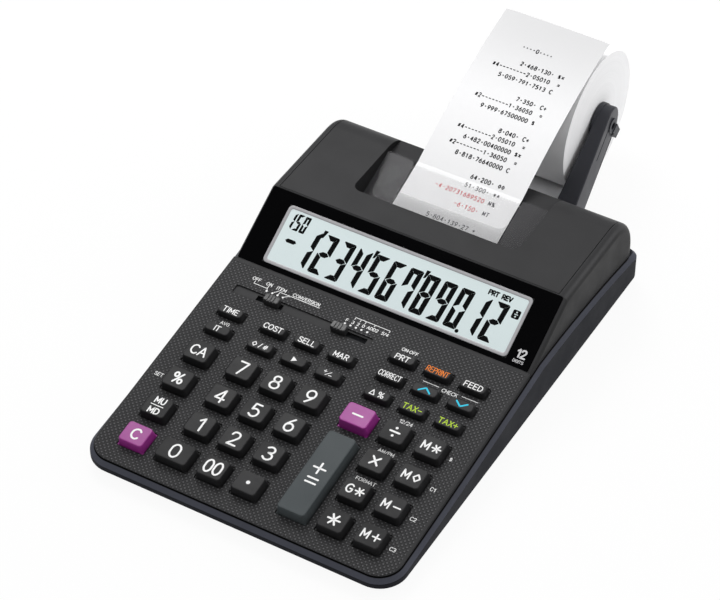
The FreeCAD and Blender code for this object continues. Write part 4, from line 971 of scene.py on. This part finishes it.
class KeyLegends(Operator):
    """Print the figures, signs and words on the keys; each legend moves with its own key"""
    bl_idname = "calculator.key_legends"
    bl_label = "Key Legends"

    def execute(self, context):
        given = colours()
        inks = {
            "white": ink("white key ink", given.white_ink),
            "green": ink("green key ink", given.green_ink),
            "orange": ink("orange key ink", given.orange_ink),
            "blue": ink("blue key ink", given.blue_ink),
        }
        height = sizes().ink_height
        for node in KEYS:
            middle, top = key_top(node)
            rows = centred(*KEY_LEGENDS.get(node, []))
            stroke = sizes().large_stroke if top.y > 8 * MM else sizes().small_stroke
            if rows and len(rows[0][0]) > 5:
                stroke *= 0.78
            if node == "key_mark_up":
                stroke = 0.74 * MM
            elif rows and rows[0][0] in ("CA", "M", "G"):
                stroke = sizes().medium_stroke
            elif INKS.get(node) == "blue":
                stroke = 0.9 * MM
            bm = lettering(rows, stroke, height)
            if node == "key_point":
                dot(bm, 0, 0, 1.05 * MM, height)
            elif node == "key_divide":
                for y in (2.3, -2.3):
                    dot(bm, 0, y * MM, 0.72 * MM, height)
            elif node == "key_mark_up":
                bar(bm, *in_mm((-3.4, 0), (3.4, 0)), 0.45 * MM, height)
            elif node == "key_sign_change":
                self.sign_change(bm, height)
            elif node == "key_backspace":
                self.arrow(bm, height)
            piece(f"legend_{node}", moved(bm, KEY_FIELD @ Matrix.Translation(middle)), node,
                  inks[INKS.get(node, "white")], smooth=50)
        return {"FINISHED"}

    @staticmethod
    def sign_change(bm, height):
        """Small plus and minus with a slash between them."""
        for ends in (((-2.6, 0.8), (-0.9, 0.8)), ((-1.75, 1.65), (-1.75, -0.05)), ((1.5, 1.3), (-1.1, -1.3)),
                     ((0.5, -0.9), (2.3, -0.9))):
            bar(bm, *in_mm(*ends), 0.36 * MM, height)

    @staticmethod
    def arrow(bm, height):
        """Solid triangle that points right."""
        bmesh.ops.create_circle(bm, cap_ends=True, segments=3, radius=1.75 * MM,
                                matrix=Matrix.Rotation(-math.pi / 2, 4, "Z"))
        bmesh.ops.translate(bm, verts=bm.verts, vec=(0, 0, height))


# ---------------------------------------------------------------- legends on the key field
PANEL_WORDS = [  # text, x, distance up the key field, height, greatest width, all in millimetres
    ("$", 71.4, 73.4, 2.3, 0), ("C1", 72.3, 55.1, 2.2, 0), ("C2", 72.5, 36.9, 2.2, 0), ("C3", 72.4, 18.6, 2.2, 0),
    ("12/24", 43.3, 82.3, 2.2, 8.8), ("AM/PM", 43.5, 63.5, 2.2, 10.8), ("FORMAT", 43.3, 45.4, 2.2, 11.8),
    ("CHECK", 52.6, 106.5, 2.2, 9.4), ("OFF", -62.6, 125.3, 2.1, 5.6), ("ON", -55.5, 125.2, 2.1, 4.2),
    ("ITEM", -48.7, 125.0, 2.1, 6.2), ("CONVERSION", -34.8, 124.8, 2.1, 17.4), ("F", -11.4, 122.8, 2.0, 0),
    ("3", -8.1, 122.8, 2.0, 0), ("2", -5.3, 122.9, 2.0, 0), ("0", -2.6, 123.0, 2.0, 0),
    ("ADD2", 2.2, 123.3, 2.0, 6.0), ("5/4", 8.9, 123.3, 2.0, 4.4), ("ON:OFF", 24.5, 119.4, 2.1, 11.0),
    ("AVG", -61.8, 94.9, 2.1, 5.8), ("SET", -73.4, 55.1, 2.2, 5.4),
]
PANEL_LINES = [  # ends of thin printed lines, in the same way
    ((38.2, 107.2), (46.8, 107.2)), ((58.5, 107.2), (67.0, 107.2)), ((-42.8, 123.2), (-26.6, 123.2)),
    ((-62.6, 124.1), (-62.6, 122.5)), ((-62.6, 122.5), (-55.2, 122.5)), ((-55.2, 124.1), (-55.2, 122.5)),
    ((-55.2, 122.5), (-54.6, 121.2)), ((-49.0, 123.9), (-51.4, 121.2)), ((-42.8, 123.2), (-48.4, 123.2)),
    ((-48.4, 123.2), (-48.5, 121.2)), ((-42.8, 123.2), (-45.5, 121.2)), ((-8.3, 124.6), (-8.3, 126.0)),
    ((-8.3, 126.0), (10.2, 126.0)), ((10.2, 126.0), (10.2, 124.8)), ((2.2, 126.0), (2.2, 124.7)),
    ((-5.3, 126.0), (-5.3, 124.4)), ((-2.6, 126.0), (-2.6, 124.4)),
]
PANEL_DOTS = [
    *((x, 121.0) for x in (-54.6, -51.5, -48.6, -45.6)),
    *((x, 120.6) for x in (-11.3, -8.3, -5.3, -2.3, 0.8)),
]


class PanelLegends(Operator):
    """Print the small words, lines and dots on the key field"""
    bl_idname = "calculator.panel_legends"
    bl_label = "Key Field Legends"

    def execute(self, context):
        height = sizes().ink_height
        bm = lettering(centred(*PANEL_WORDS), sizes().panel_stroke, height)
        for ends in PANEL_LINES:
            bar(bm, *in_mm(*ends), 0.32 * MM, height)
        for x, up in in_mm(*PANEL_DOTS):
            dot(bm, x, up, 0.55 * MM, height, segments=12)
        piece("key_field_legends", moved(bm, KEY_FIELD), "case", ink("panel ink", colours().white_ink), smooth=50)
        return {"FINISHED"}


# ---------------------------------------------------------------- display
# Lit segments of each figure: a top, b and c right, d bottom, e and f left, g middle.
SEGMENTS = {"0": "abcdef", "1": "bc", "2": "abged", "3": "abgcd", "4": "fgbc", "5": "afgcd", "6": "afgedc",
            "7": "fabc", "8": "abcdefg", "9": "abcdfg", "-": "g"}
SEGMENT_SLANT = math.tan(math.radians(4))


def outline(bm, points):
    """A flat face through points on the XY plane."""
    bm.faces.new([bm.verts.new((x, y, 0)) for x, y in points])


def segment_figure(bm, figure, left, low, width, height, stroke):
    """A seven-segment figure: mitred segments with a hairline between them and clipped outer corners."""
    gap, clip, middle = stroke * 0.01, stroke * 0.26, height / 2
    level = [(clip, height), (width - clip, height), (width - clip / 2 - gap, height - clip / 2),
             (width - stroke - gap, height - stroke), (stroke + gap, height - stroke),
             (clip / 2 + gap, height - clip / 2)]
    upright = [(0, height - clip), (clip / 2, height - clip / 2 - gap), (stroke, height - stroke - gap),
               (stroke, middle + stroke * 0.62 + gap), (stroke * 0.1, middle + gap), (0, middle + gap * 1.5)]
    bar = [(stroke * 0.3 + gap, middle), (stroke * 0.9 + gap, middle + stroke / 2),
           (width - stroke * 0.9 - gap, middle + stroke / 2), (width - stroke * 0.3 - gap, middle),
           (width - stroke * 0.9 - gap, middle - stroke / 2), (stroke * 0.9 + gap, middle - stroke / 2)]
    places = {
        "a": level, "g": bar, "f": upright,
        "d": [(x, height - y) for x, y in level],
        "b": [(width - x, y) for x, y in upright],
        "e": [(x, height - y) for x, y in upright],
        "c": [(width - x, height - y) for x, y in upright],
    }
    for name in SEGMENTS[figure]:
        outline(bm, [(left + x, low + y) for x, y in places[name]])


def slanted(verts, low):
    """Lean figures to the right about their foot."""
    for vert in verts:
        vert.co.x += (vert.co.y - low) * SEGMENT_SLANT


class Display(Operator):
    """Build the silver frame, the lit segments and the small signs of the display"""
    bl_idname = "calculator.display"
    bl_label = "Display"

    def execute(self, context):
        given, size = colours(), sizes()
        top = max((DISPLAY.inverted() @ vertex.co).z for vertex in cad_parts["lcd_panel"].data.vertices)
        self.frame_ring(top)
        bm = bmesh.new()
        low = 6.5 * MM
        for cell, figure in enumerate("123456789012"):
            middle = -47.94 * MM + cell * size.segment_pitch
            segment_figure(bm, figure, middle - size.segment_digit_width / 2, low, size.segment_digit_width,
                           size.segment_digit_height, size.segment_stroke)
        slanted(bm.verts, low + size.segment_digit_height / 2)
        before = set(bm.verts)
        for cell, figure in enumerate("150"):
            segment_figure(bm, figure, (-63.3 + 3.7 * cell) * MM, 22.6 * MM, 3.05 * MM, 8.8 * MM, 1.22 * MM)
        outline(bm, in_mm((-59.6, 17), (-58.5, 18), (-54.6, 18), (-53.5, 17), (-54.6, 16), (-58.5, 16)))
        slanted([vert for vert in bm.verts if vert not in before], 27 * MM)
        for x in (-43.6, -15.2, 12.3):
            outline(bm, in_mm((x - 0.5, 24.0), (x + 0.6, 24.5), (x + 1.9, 28.4), (x - 0.2, 28.4)))
        bmesh.ops.create_circle(bm, cap_ends=True, segments=20, radius=0.95 * MM,
                                matrix=Matrix.Translation((38.6 * MM, 6.3 * MM, 0)))
        rounded_plate(bm, (59.4 * MM, 21.8 * MM), (63.4 * MM, 26.2 * MM), 0.7 * MM)
        bmesh.ops.translate(bm, verts=bm.verts, vec=(0, 0, top + 0.02 * MM))
        segments = ink("segment ink", given.lcd_ink, Specular_IOR_Level=0.05)
        piece("display_segments", moved(bm, DISPLAY), "case", segments)

        film = 0.03 * MM
        words = lettering(centred(("PRT", 47.0, 29.7, 2.9, 5.8), ("REV", 54.0, 29.7, 2.9, 5.8)), 0.74 * MM, film)
        piece("display_words", moved(words, DISPLAY @ Matrix.Translation((0, 0, top))), "case", segments,
              smooth=50)
        pen = 0.42 * MM
        sign = lettering(centred(("-", 61.4, 24.0, 3.2, 0)), pen, film)
        for up in (22.9, 25.1):
            dot(sign, 61.4 * MM, up * MM, pen, film, segments=12)
        piece("display_sign", moved(sign, DISPLAY @ Matrix.Translation((0, 0, top + film))), "case",
              ink("display sign ground", given.lcd), smooth=50)
        badges = (("12", 72.3, 7.4, 4.7, 6.2), 0.85), (("DIGITS", 72.3, 3.4, 1.6, 6.0), 0.26)
        for number, (row, stroke) in enumerate(badges, 1):
            words = lettering(centred(row), stroke * MM, 0.04 * MM)
            piece(f"window_badge_{number}", moved(words, DISPLAY), "case",
                  ink(f"badge ink {number}", seen(214, 214, 216)), smooth=50)
        return {"FINISHED"}

    @staticmethod
    def frame_ring(top):
        """Thin silver frame that stands round the display ground, inside the window."""
        bm = bmesh.new()
        section = in_mm((0.1, -0.1), (0.1, 0.2), (0.25, 0.26), (1.25, 0.26), (1.4, 0.2), (1.75, -0.02))
        band(bm, [[(x, y, top + height)
                   for x, y in round_rectangle(LCD_HALF_WIDTH - inset, LCD_LOW + inset, LCD_HIGH - inset,
                                               LCD_CORNER - inset * 0.6)]
                  for inset, height in section])
        outwards(bm)
        piece("display_frame", moved(bm, DISPLAY), "case", silver_frame(), smooth=20)


# ---------------------------------------------------------------- paper
class StripShape:
    """The arc that the printed strip stands in, above the tear edge."""

    def __init__(self):
        low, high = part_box("paper_strip")
        self.half = (high.x - low.x) / 2
        chord = STRIP_END - TEAR_EDGE
        self.radius = chord.length ** 2 / (8 * STRIP_RISE) + STRIP_RISE / 2
        across = Vector((chord.y, -chord.x)).normalized()
        self.middle = (TEAR_EDGE + STRIP_END) / 2 + across * (self.radius - STRIP_RISE)
        self.start, end = (math.atan2(*reversed(point - self.middle)) for point in (TEAR_EDGE, STRIP_END))
        self.long = self.radius * (self.start - end)

    def ripple(self, x, along, share_across):
        """How far the sheet leaves its arc: corners that curl at the loose end, and slow waves."""
        curled_share, curl_depth, wave_depth, held = 0.45, 0.5 * MM, 0.1 * MM, 20 * MM
        loose = max(0, along / self.long - (1 - curled_share)) / curled_share
        curl = -curl_depth * loose ** 2 * share_across ** 3
        wave = wave_depth * math.sin(x * 90) * math.sin(along * 55)
        return curl, wave * min(1, along / held)

    def place(self, x, along, off):
        """A point x across, along from the tear edge, and off the sheet's middle."""
        angle = self.start - along / self.radius
        reach = self.radius + off
        return Vector((x, self.middle.x + reach * math.cos(angle), self.middle.y + reach * math.sin(angle)))


# Rows of the printer's even pitch, each up the strip from the tear edge or up the plate from its foot, in
# millimetres, with the ink. The last character of every row stands in the same column.
STRIP_ROWS = [
    (77.4, "::::0::::      ", "black"), (68.0, "2:468:130: $x", "black"), (63.2, "#4--------2:05010  =", "black"),
    (58.4, "5:059:791:7513 C ", "black"), (48.6, "7:350: C+", "black"), (44.0, "#2--------1:36050  =", "black"),
    (39.2, "9:999:67500000 $ ", "black"), (29.5, "8:040: C+", "black"), (25.2, "#4--------2:05010  =", "black"),
    (20.6, "6:482:00400000 $x", "black"), (16.1, "#2--------1:36050  =", "black"),
    (11.4, "8:818:76640000 C ", "black"), (2.3, "64:200: <<", "black"),
]
PLATE_ROWS = [
    (35.4, "51:300: **", "black"), (30.2, "-4:20731689520   ", "red"), (30.2, "M%", "black"),
    (24.0, "-6:150:   ", "red"), (24.0, "MT", "black"), (13.4, "5:804:139:27 + ", "black"),
]


def printed(rows, height, stroke):
    return lettering([(text, 18.0 * MM, up * MM, height, 0, "right") for up, text, _ in rows], stroke, 0.02 * MM,
                     fine=False, pitch=5.95)


class PaperStrip(Operator):
    """Build the printed paper above the tear edge and under the clear plate"""
    bl_idname = "calculator.paper_strip"
    bl_label = "Printed Strip"

    def execute(self, context):
        given, size = colours(), sizes()
        # the strip turns greyer between these two heights: painted shade at its top
        paper = paper_finish("strip paper", painted_top_shade_span=(62 * MM, 83 * MM))
        black = ink("black print", given.black_print, size=0.25, roughness=0.8)
        red = ink("red print", given.red_print, size=0.25, roughness=0.8)
        shape = StripShape()
        half_sheet = size.paper_thickness / 2

        bm = bmesh.new()
        across, along = 76, 40
        tooth, short = 0.42 * MM, 0.3 * MM  # torn teeth of the loose end, and what the tear took off
        bmesh.ops.create_grid(bm, x_segments=across, y_segments=along, size=0.5)
        for vert in bm.verts:
            x = vert.co.x * 2 * shape.half
            up = (vert.co.y + 0.5) * (shape.long - short)
            column = round((vert.co.x + 0.5) * across)
            if vert.co.y > 0.499:
                up -= tooth * (column % 2)
            curl, wave = shape.ripple(x, up, 2 * abs(vert.co.x))
            vert.co = shape.place(x, up, curl + wave)
        outwards(bm)
        thickened(bm, size.paper_thickness)
        strip = piece("printed_strip", bm, "strip", paper, smooth=40)
        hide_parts("paper_strip")

        bm = printed(STRIP_ROWS, size.print_height, 0.5 * MM)
        for vert in bm.verts:
            x, up, above = vert.co
            curl, wave = shape.ripple(x, up, abs(x) / shape.half)
            vert.co = shape.place(x, up, above + half_sheet + curl + wave)
        piece("strip_print", bm, "strip", black)

        faint = ink("faint print", seen(94, 94, 98), size=0.25, roughness=0.8)
        self.under_plate(paper, {"black": faint, "red": red}, shape.half)
        return {"FINISHED"}

    @staticmethod
    def under_plate(paper, inks, half):
        """Paper that lies close under the clear plate, and turns down at the plate's foot."""
        size = sizes()
        gap = 1.62 * MM
        bm = bmesh.new()
        bmesh.ops.create_grid(bm, x_segments=12, y_segments=48, size=0.5)
        low, high = 1.2 * MM, 38.5 * MM
        for vert in bm.verts:
            up = low + (vert.co.y + 0.5) * (high - low)
            droop = 2.6 * MM * max(0, 1 - up / (8 * MM)) ** 2 + 0.12 * MM * max(0, up / MM - 37.5)
            vert.co = (vert.co.x * 2 * half, up, -gap - droop)
        thickened(bm, size.paper_thickness)
        outwards(bm)
        piece("plate_paper", moved(bm, PLATE), "cover", paper, smooth=40)
        for name, material in inks.items():
            bm = printed([row for row in PLATE_ROWS if row[2] == name], size.print_height, 0.42 * MM)
            place = PLATE @ Matrix.Translation((0, 0, -gap + 0.03 * MM))
            piece(f"plate_print_{name}", moved(bm, place), "cover", material)


class PlateBand(Operator):
    """Lay the smoked band with its rounded window on the foot of the clear plate"""
    bl_idname = "calculator.plate_band"
    bl_label = "Plate Band"

    def execute(self, context):
        corner = round_corner(24.9, 22.6, 4.3, 270, 90)
        window = [(-29.0, 17.9), (0, 18.1), *corner]
        foot = [(-29.0, 0.9), (0, 0.9), *[(24.9 + 4.3 * step / 6, 0.9) for step in range(7)]]
        bm = bmesh.new()
        band(bm, [[(x * MM, y * MM, 0.04 * MM) for x, y in row] for row in (window, foot)], closed=False)
        outwards(bm)
        material, w, shader = finish("smoked band", 0.3, Alpha=0.25)
        tint = w.noise(w.object_place(), 300.0)
        w.give(shader, Base_Color=w.mix(tint, seen(94, 94, 96), seen(104, 104, 106)))
        piece("plate_band", moved(bm, PLATE), "cover", material)
        return {"FINISHED"}


class PaperWeb(Operator):
    """Build the paper that runs from the roll into the back of the printer"""
    bl_idname = "calculator.paper_web"
    bl_label = "Paper Web"

    def execute(self, context):
        low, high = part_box("paper_roll")
        axis_y, axis_z, radius = (low.y + high.y) / 2, (low.z + high.z) / 2, (high.y - low.y) / 2
        inlet = Vector((FRONT + 243.0 * MM, 21.5 * MM))
        away = Vector((axis_y, axis_z)) - inlet
        reach = math.sqrt(away.length_squared - radius ** 2)
        turn = math.atan2(away.y, away.x) - math.atan2(radius, reach)
        touch = inlet + Vector((math.cos(turn), math.sin(turn))) * (reach + 1 * MM)
        half = StripShape().half
        bm = bmesh.new()
        bmesh.ops.create_grid(bm, x_segments=10, y_segments=30, size=0.5)
        for vert in bm.verts:
            share = vert.co.y + 0.5
            flat = inlet.lerp(touch, share)
            sag = 0.5 * MM * math.sin(math.pi * share)
            vert.co = (vert.co.x * 2 * half, flat.x, flat.y - sag - 0.1 * MM)
        outwards(bm)
        thickened(bm, sizes().paper_thickness)
        web = piece("paper_web", bm, None, paper_finish("web paper"), smooth=40)
        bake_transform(web)
        return {"FINISHED"}


# ---------------------------------------------------------------- fittings
def spun(bm, profile, matrix, segments=32):
    """Turn a profile of (radius, height) about Z, then put it in place."""
    before = set(bm.verts)
    verts = [bm.verts.new((radius, 0, height)) for radius, height in profile]
    edges = [bm.edges.new(pair) for pair in zip(verts, verts[1:])]
    bmesh.ops.spin(bm, geom=verts + edges, cent=(0, 0, 0), axis=(0, 0, 1), angle=math.tau, steps=segments,
                   use_merge=True)
    made = [vert for vert in bm.verts if vert not in before]
    bmesh.ops.remove_doubles(bm, verts=made, dist=1e-6)
    made = [vert for vert in bm.verts if vert not in before]
    moved(bm, matrix, made)
    outwards(bm)


def carved(solid, cutter):
    """The mesh of one bmesh with another cut out of it."""
    things = []
    for bm in (solid, cutter):
        mesh = bpy.data.meshes.new("work")
        bm.to_mesh(mesh)
        bm.free()
        things.append(bpy.data.objects.new("work", mesh))
        bpy.context.scene.collection.objects.link(things[-1])
    cut = things[0].modifiers.new("cut", "BOOLEAN")
    cut.object, cut.operation, cut.solver = things[1], "DIFFERENCE", "EXACT"
    bpy.context.view_layer.update()
    whole = things[0].evaluated_get(bpy.context.evaluated_depsgraph_get())
    made = bpy.data.meshes.new_from_object(whole)
    for thing in things:
        mesh = thing.data
        bpy.data.objects.remove(thing)
        bpy.data.meshes.remove(mesh)
    return made


class BaseFittings(Operator):
    """Build the screws under the case, the adapter socket and the marks on the battery hatch"""
    bl_idname = "calculator.base_fittings"
    bl_label = "Base Fittings"

    def execute(self, context):
        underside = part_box("rubber_feet")[1].z
        zinc = steel("zinc screw", (0.5, 0.5, 0.52), 0.32)
        places = [(side * 74.2 * MM, FRONT + along * MM) for side in (-1, 1) for along in (76, 126, 178)]
        pattern = self.screw()
        for number, (x, y) in enumerate(places):
            head = bmesh.new()
            head.from_mesh(pattern)
            bmesh.ops.translate(head, vec=(x, y, underside), verts=head.verts)
            piece(f"case_screw_{number + 1}", head, "case", zinc, smooth=35)
        bpy.data.meshes.remove(pattern)
        rear_hole = Matrix.Translation((-62 * MM, FRONT + 241.7 * MM, 11 * MM))
        self.socket(rear_hole @ Matrix.Rotation(-math.pi / 2, 4, "X"))
        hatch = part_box("battery_cover")[0]
        face = Matrix.Translation((0, hatch.y, hatch.z)) @ Matrix.Rotation(math.pi, 4, "Y")
        words = lettering(centred(("OPEN", 0, 8.5, 3.4, 0), ("^", 0, 14.0, 3.2, 6)), 0.55 * MM, 0.12 * MM)
        mark = moulding("hatch mark moulding", shade(colours().lower_case, 1.3), 0.5, grain=0.3, edge=0.2)
        piece("hatch_mark", moved(words, face), "hatch", mark, smooth=50)
        self.cells()
        return {"FINISHED"}

    @staticmethod
    def cells():
        """Four small round cells in two rows in the bay above the hatch, their poles turned about."""
        wraps, poles = bmesh.new(), bmesh.new()
        for row in range(2):
            for side in (-1, 1):
                face = 1 if (row + (side > 0)) % 2 else -1
                place = Matrix.Translation((side * 22.9 * MM, FRONT + (147.6 + 10.6 * row) * MM, 10 * MM)) \
                    @ Matrix.Rotation(face * math.pi / 2, 4, "Y")
                spun(wraps, in_mm((0, -21.6), (4.7, -21.6), (5.1, -21.2), (5.1, 20.6), (4.7, 21), (0, 21)), place)
                spun(poles, in_mm((0, 21.05), (3.6, 21.05), (3.6, 21.3), (1.9, 21.4), (1.9, 22.2), (0, 22.3)), place)
                spun(poles, in_mm((0, -21.65), (3.9, -21.65), (3.9, -21.9), (0, -21.95)), place)
        piece("cell_wraps", wraps, "case", moulding("cell wrap", seen(150, 152, 150), 0.3, grain=0.2, edge=0.2),
              smooth=35)
        piece("cell_poles", poles, "case", steel("cell pole", (0.66, 0.64, 0.6), 0.28), smooth=35)

    @staticmethod
    def screw():
        """Pan head screw with a cross recess, its head downwards."""
        head, cross = bmesh.new(), bmesh.new()
        spun(head, in_mm((0, 0), (2.6, 0), (2.6, -0.35), (2.3, -0.62), (1.5, -0.8), (0, -0.85)), Matrix())
        half, arm, top, foot = 0.3 * MM, 1.3 * MM, -0.35 * MM, -1.2 * MM
        corners = [(arm, half), (half, half), (half, arm), (-half, arm), (-half, half), (-arm, half), (-arm, -half),
                   (-half, -half), (-half, -arm), (half, -arm), (half, -half), (arm, -half)]
        face = cross.faces.new([cross.verts.new((x, y, foot)) for x, y in corners])
        pulled(cross, [face], top - foot)
        outwards(cross)
        made = carved(head, cross)
        if len(made.polygons) < 60:
            raise RuntimeError("the screw head lost its faces")
        return made

    @staticmethod
    def socket(place):
        """Cup with a centre pin behind the round hole in the rear wall; Z of place points out of the hole."""
        cup = bmesh.new()
        spun(cup, in_mm((3.3, 0), (4.6, 0), (4.6, -10.5), (0, -10.5)), place)
        spun(cup, in_mm((3.3, 0), (3.3, -8.6), (2.9, -9), (0, -9)), place)
        bmesh.ops.remove_doubles(cup, verts=cup.verts, dist=1e-6)
        outwards(cup)
        piece("socket_cup", cup, "case", moulding("socket moulding", seen(22, 22, 23), 0.4, grain=0.2, edge=0.2),
              smooth=40)
        pin = bmesh.new()
        spun(pin, in_mm((0, -9.2), (0.75, -9.2), (0.75, -1.6), (0.55, -1.1), (0, -0.9)), place, segments=20)
        piece("socket_pin", pin, "case", steel("plated pin", (0.72, 0.7, 0.66), 0.22), smooth=40)


def gear(bm, teeth, root, tip, low, high, y, z):
    """A spur gear along X between two limits, with plain flanks."""
    made = bmesh.ops.create_circle(bm, cap_ends=True, segments=teeth * 4, radius=tip)["verts"]
    for vert in made:
        turn = math.atan2(vert.co.y, vert.co.x) * teeth * 4 / math.tau
        if round(turn) % 4 in (2, 3):
            vert.co *= root / tip
    top = pulled(bm, list({face for vert in made for face in vert.link_faces}), high - low)
    moved(bm, Matrix.Translation((low, y, z)) @ Matrix.Rotation(math.pi / 2, 4, "Y"), made + top)
    outwards(bm)


class PrinterFittings(Operator):
    """Build the gears and the ink roller of the printer under the cover"""
    bl_idname = "calculator.printer_fittings"
    bl_label = "Printer Fittings"

    def execute(self, context):
        white = moulding("gear moulding", seen(206, 204, 196), 0.4, grain=0.3, edge=0.15)
        feed = self.middle("feed_roller")
        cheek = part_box("printer_mechanism")[1].x
        bm = bmesh.new()
        gear(bm, 18, 4.7 * MM, 5.7 * MM, cheek + 0.2 * MM, cheek + 2.2 * MM, feed.y, feed.z)
        piece("feed_gear", bm, "feed", white)
        bm = bmesh.new()
        gear(bm, 20, 4.9 * MM, 5.9 * MM, cheek + 0.2 * MM, cheek + 2.2 * MM, FRONT + 203 * MM, 22.5 * MM)
        piece("drum_gear", bm, "case", white)
        axle = Matrix.Translation((0, FRONT + 206 * MM, 33.8 * MM)) @ Matrix.Rotation(math.pi / 2, 4, "Y")
        self.ink_roller(axle, cheek)
        return {"FINISHED"}

    @staticmethod
    def middle(node):
        low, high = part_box(node)
        return (low + high) / 2

    @staticmethod
    def ink_roller(place, cheek):
        """Felt roller between two flanged caps on a thin axle."""
        half = cheek - 6 * MM
        felt = bmesh.new()
        spun(felt, [(0, -half), (4.1 * MM, -half), (4.4 * MM, 0.4 * MM - half), (4.4 * MM, half - 0.4 * MM),
                    (4.1 * MM, half), (0, half)], place)
        piece("ink_felt", felt, "case", moulding("ink felt", seen(26, 24, 34), 0.95, grain=0.7, depth=0.12),
              smooth=35)
        caps = bmesh.new()
        for side in (-1, 1):
            rows = [(0, half), (4.6 * MM, half), (4.6 * MM, half + 1.2 * MM), (1.4 * MM, half + 1.6 * MM),
                    (1.4 * MM, half + 3.2 * MM), (0, half + 3.2 * MM)]
            spun(caps, [(radius, side * height) for radius, height in rows], place)
        piece("ink_roller_caps", caps, "case", moulding("cap moulding", seen(30, 30, 31), 0.45, grain=0.3),
              smooth=35)


# ---------------------------------------------------------------- stage
def lamp(name, place, aim, width, depth, power, tint=(1, 1, 1)):
    data = bpy.data.lights.new(name, "AREA")
    data.shape, data.size, data.size_y = "RECTANGLE", width, depth
    data.energy, data.color = power, tint
    thing = bpy.data.objects.new(name, data)
    thing.location = place
    thing.rotation_euler = (Vector(aim) - Vector(place)).to_track_quat("-Z", "Y").to_euler()
    bpy.context.scene.collection.objects.link(thing)


class Stage(Operator):
    """Set up the pale floor, the soft studio light and the camera"""
    bl_idname = "calculator.stage"
    bl_label = "Stage"

    def execute(self, context):
        scene, given = context.scene, context.scene.calculator_stage
        scene.view_settings.view_transform = "Standard"
        self.floor()
        self.surround(scene, given.sky)
        middle = (CAD_BOX[0] + CAD_BOX[1]) / 2
        lamp("overhead lamp", (-0.42, 0.42, 0.95), middle, 0.5, 0.5, given.overhead)
        lamp("back lamp", (-0.9, 0.8, 0.9), middle, 0.6, 0.5, given.back)
        lamp("right lamp", (0.95, 0.85, 0.55), middle, 0.5, 0.5, given.right)
        self.camera(scene, given)
        return {"FINISHED"}

    @staticmethod
    def floor():
        """Matt pale floor that keeps the object's shadow but looks white to the camera."""
        material, w, shader = finish("pale floor", 0.95, Specular_IOR_Level=0.1)
        mottle = w.noise(w.object_place(), 3.0)
        w.give(shader, Base_Color=w.mix(mottle, (0.8, 0.8, 0.8), (0.83, 0.83, 0.83)))
        path = w.add("ShaderNodeLightPath").outputs
        looked_at = w.maths("MAXIMUM", w.maths("MAXIMUM", path["Is Camera Ray"], path["Is Glossy Ray"]),
                            path["Is Transmission Ray"])
        white = w.add("ShaderNodeEmission", Color=(1.0, 1.0, 1.0), Strength=1.0)
        w.give(node_of(w.tree, "OUTPUT_MATERIAL"), Surface=w.blended(w.times(looked_at, 0.93), shader, white))
        bm = bmesh.new()
        bmesh.ops.create_grid(bm, x_segments=8, y_segments=8, size=4)
        piece("floor", bm, None, material)

    @staticmethod
    def surround(scene, strength):
        """Even light from all round, and a pale background where the camera sees past the floor."""
        world = bpy.data.worlds.new("studio")
        scene.world = world
        world.use_nodes = True
        w = Wiring(world.node_tree)
        height = w.split(w.add("ShaderNodeTexCoord").outputs["Generated"])[2]
        light = w.give(node_of(w.tree, "BACKGROUND"), Color=(1, 1, 1),
                       Strength=w.ramp(height, 0.0, 0.9, strength * 0.45, strength * 1.45))
        pale = w.add("ShaderNodeBackground", Color=(1.0, 1.0, 1.0), Strength=1.0)
        path = w.add("ShaderNodeLightPath").outputs
        looked_at = w.maths("MAXIMUM", path["Is Camera Ray"], path["Is Transmission Ray"])
        w.give(node_of(w.tree, "OUTPUT_WORLD"), Surface=w.blended(looked_at, light, pale))

    @staticmethod
    def camera(scene, given):
        data = bpy.data.cameras.new("camera")
        data.lens, data.sensor_width = given.lens, 36
        data.shift_x, data.shift_y = given.shift_x, given.shift_y
        data.clip_start, data.clip_end = 0.05, 20
        back = Vector((math.sin(given.azimuth) * math.cos(given.elevation),
                       -math.cos(given.azimuth) * math.cos(given.elevation), math.sin(given.elevation)))
        thing = bpy.data.objects.new("camera", data)
        thing.location = Vector(given.target) + back * given.distance
        thing.rotation_euler = (-back).to_track_quat("-Z", "Y").to_euler()
        scene.collection.objects.link(thing)
        scene.camera = thing


# ---------------------------------------------------------------- panel and registration
STEPS = (CaseMouldings, KeyMouldings, KeyLegends, PanelLegends, Display, PaperStrip, PlateBand, PaperWeb,
         BaseFittings, PrinterFittings, Stage)


class CalculatorPanel(Panel):
    """Sizes, colours and steps of the calculator"""
    bl_idname = "VIEW3D_PT_calculator"
    bl_label = "Desk Calculator"
    bl_space_type = "VIEW_3D"
    bl_region_type = "UI"
    bl_category = "Calculator"

    def draw(self, context):
        layout = self.layout
        for group in (context.scene.calculator_sizes, context.scene.calculator_colours,
                      context.scene.calculator_stage):
            box = layout.box()
            for name in group.__annotations__:
                box.prop(group, name)
        for step in STEPS:
            layout.operator(step.bl_idname)


GROUPS = {"calculator_colours": CalculatorColours, "calculator_sizes": CalculatorSizes,
          "calculator_stage": CalculatorStage}
EFFECTS = (grain_effect, weave_effect, edge_effect, handling_effect, fibre_effect, ink_effect)


def register():
    for item in (*GROUPS.values(), *STEPS, CalculatorPanel):
        bpy.utils.register_class(item)
    for name, group in GROUPS.items():
        setattr(bpy.types.Scene, name, PointerProperty(type=group))


def unregister():
    for name in GROUPS:
        delattr(bpy.types.Scene, name)
    for item in reversed((*GROUPS.values(), *STEPS, CalculatorPanel)):
        bpy.utils.unregister_class(item)


def main():
    register()
    for build in EFFECTS:
        build()
    for step in STEPS:
        group, name = step.bl_idname.split(".")
        getattr(getattr(bpy.ops, group), name)()


if __name__ == "__main__":
    main()
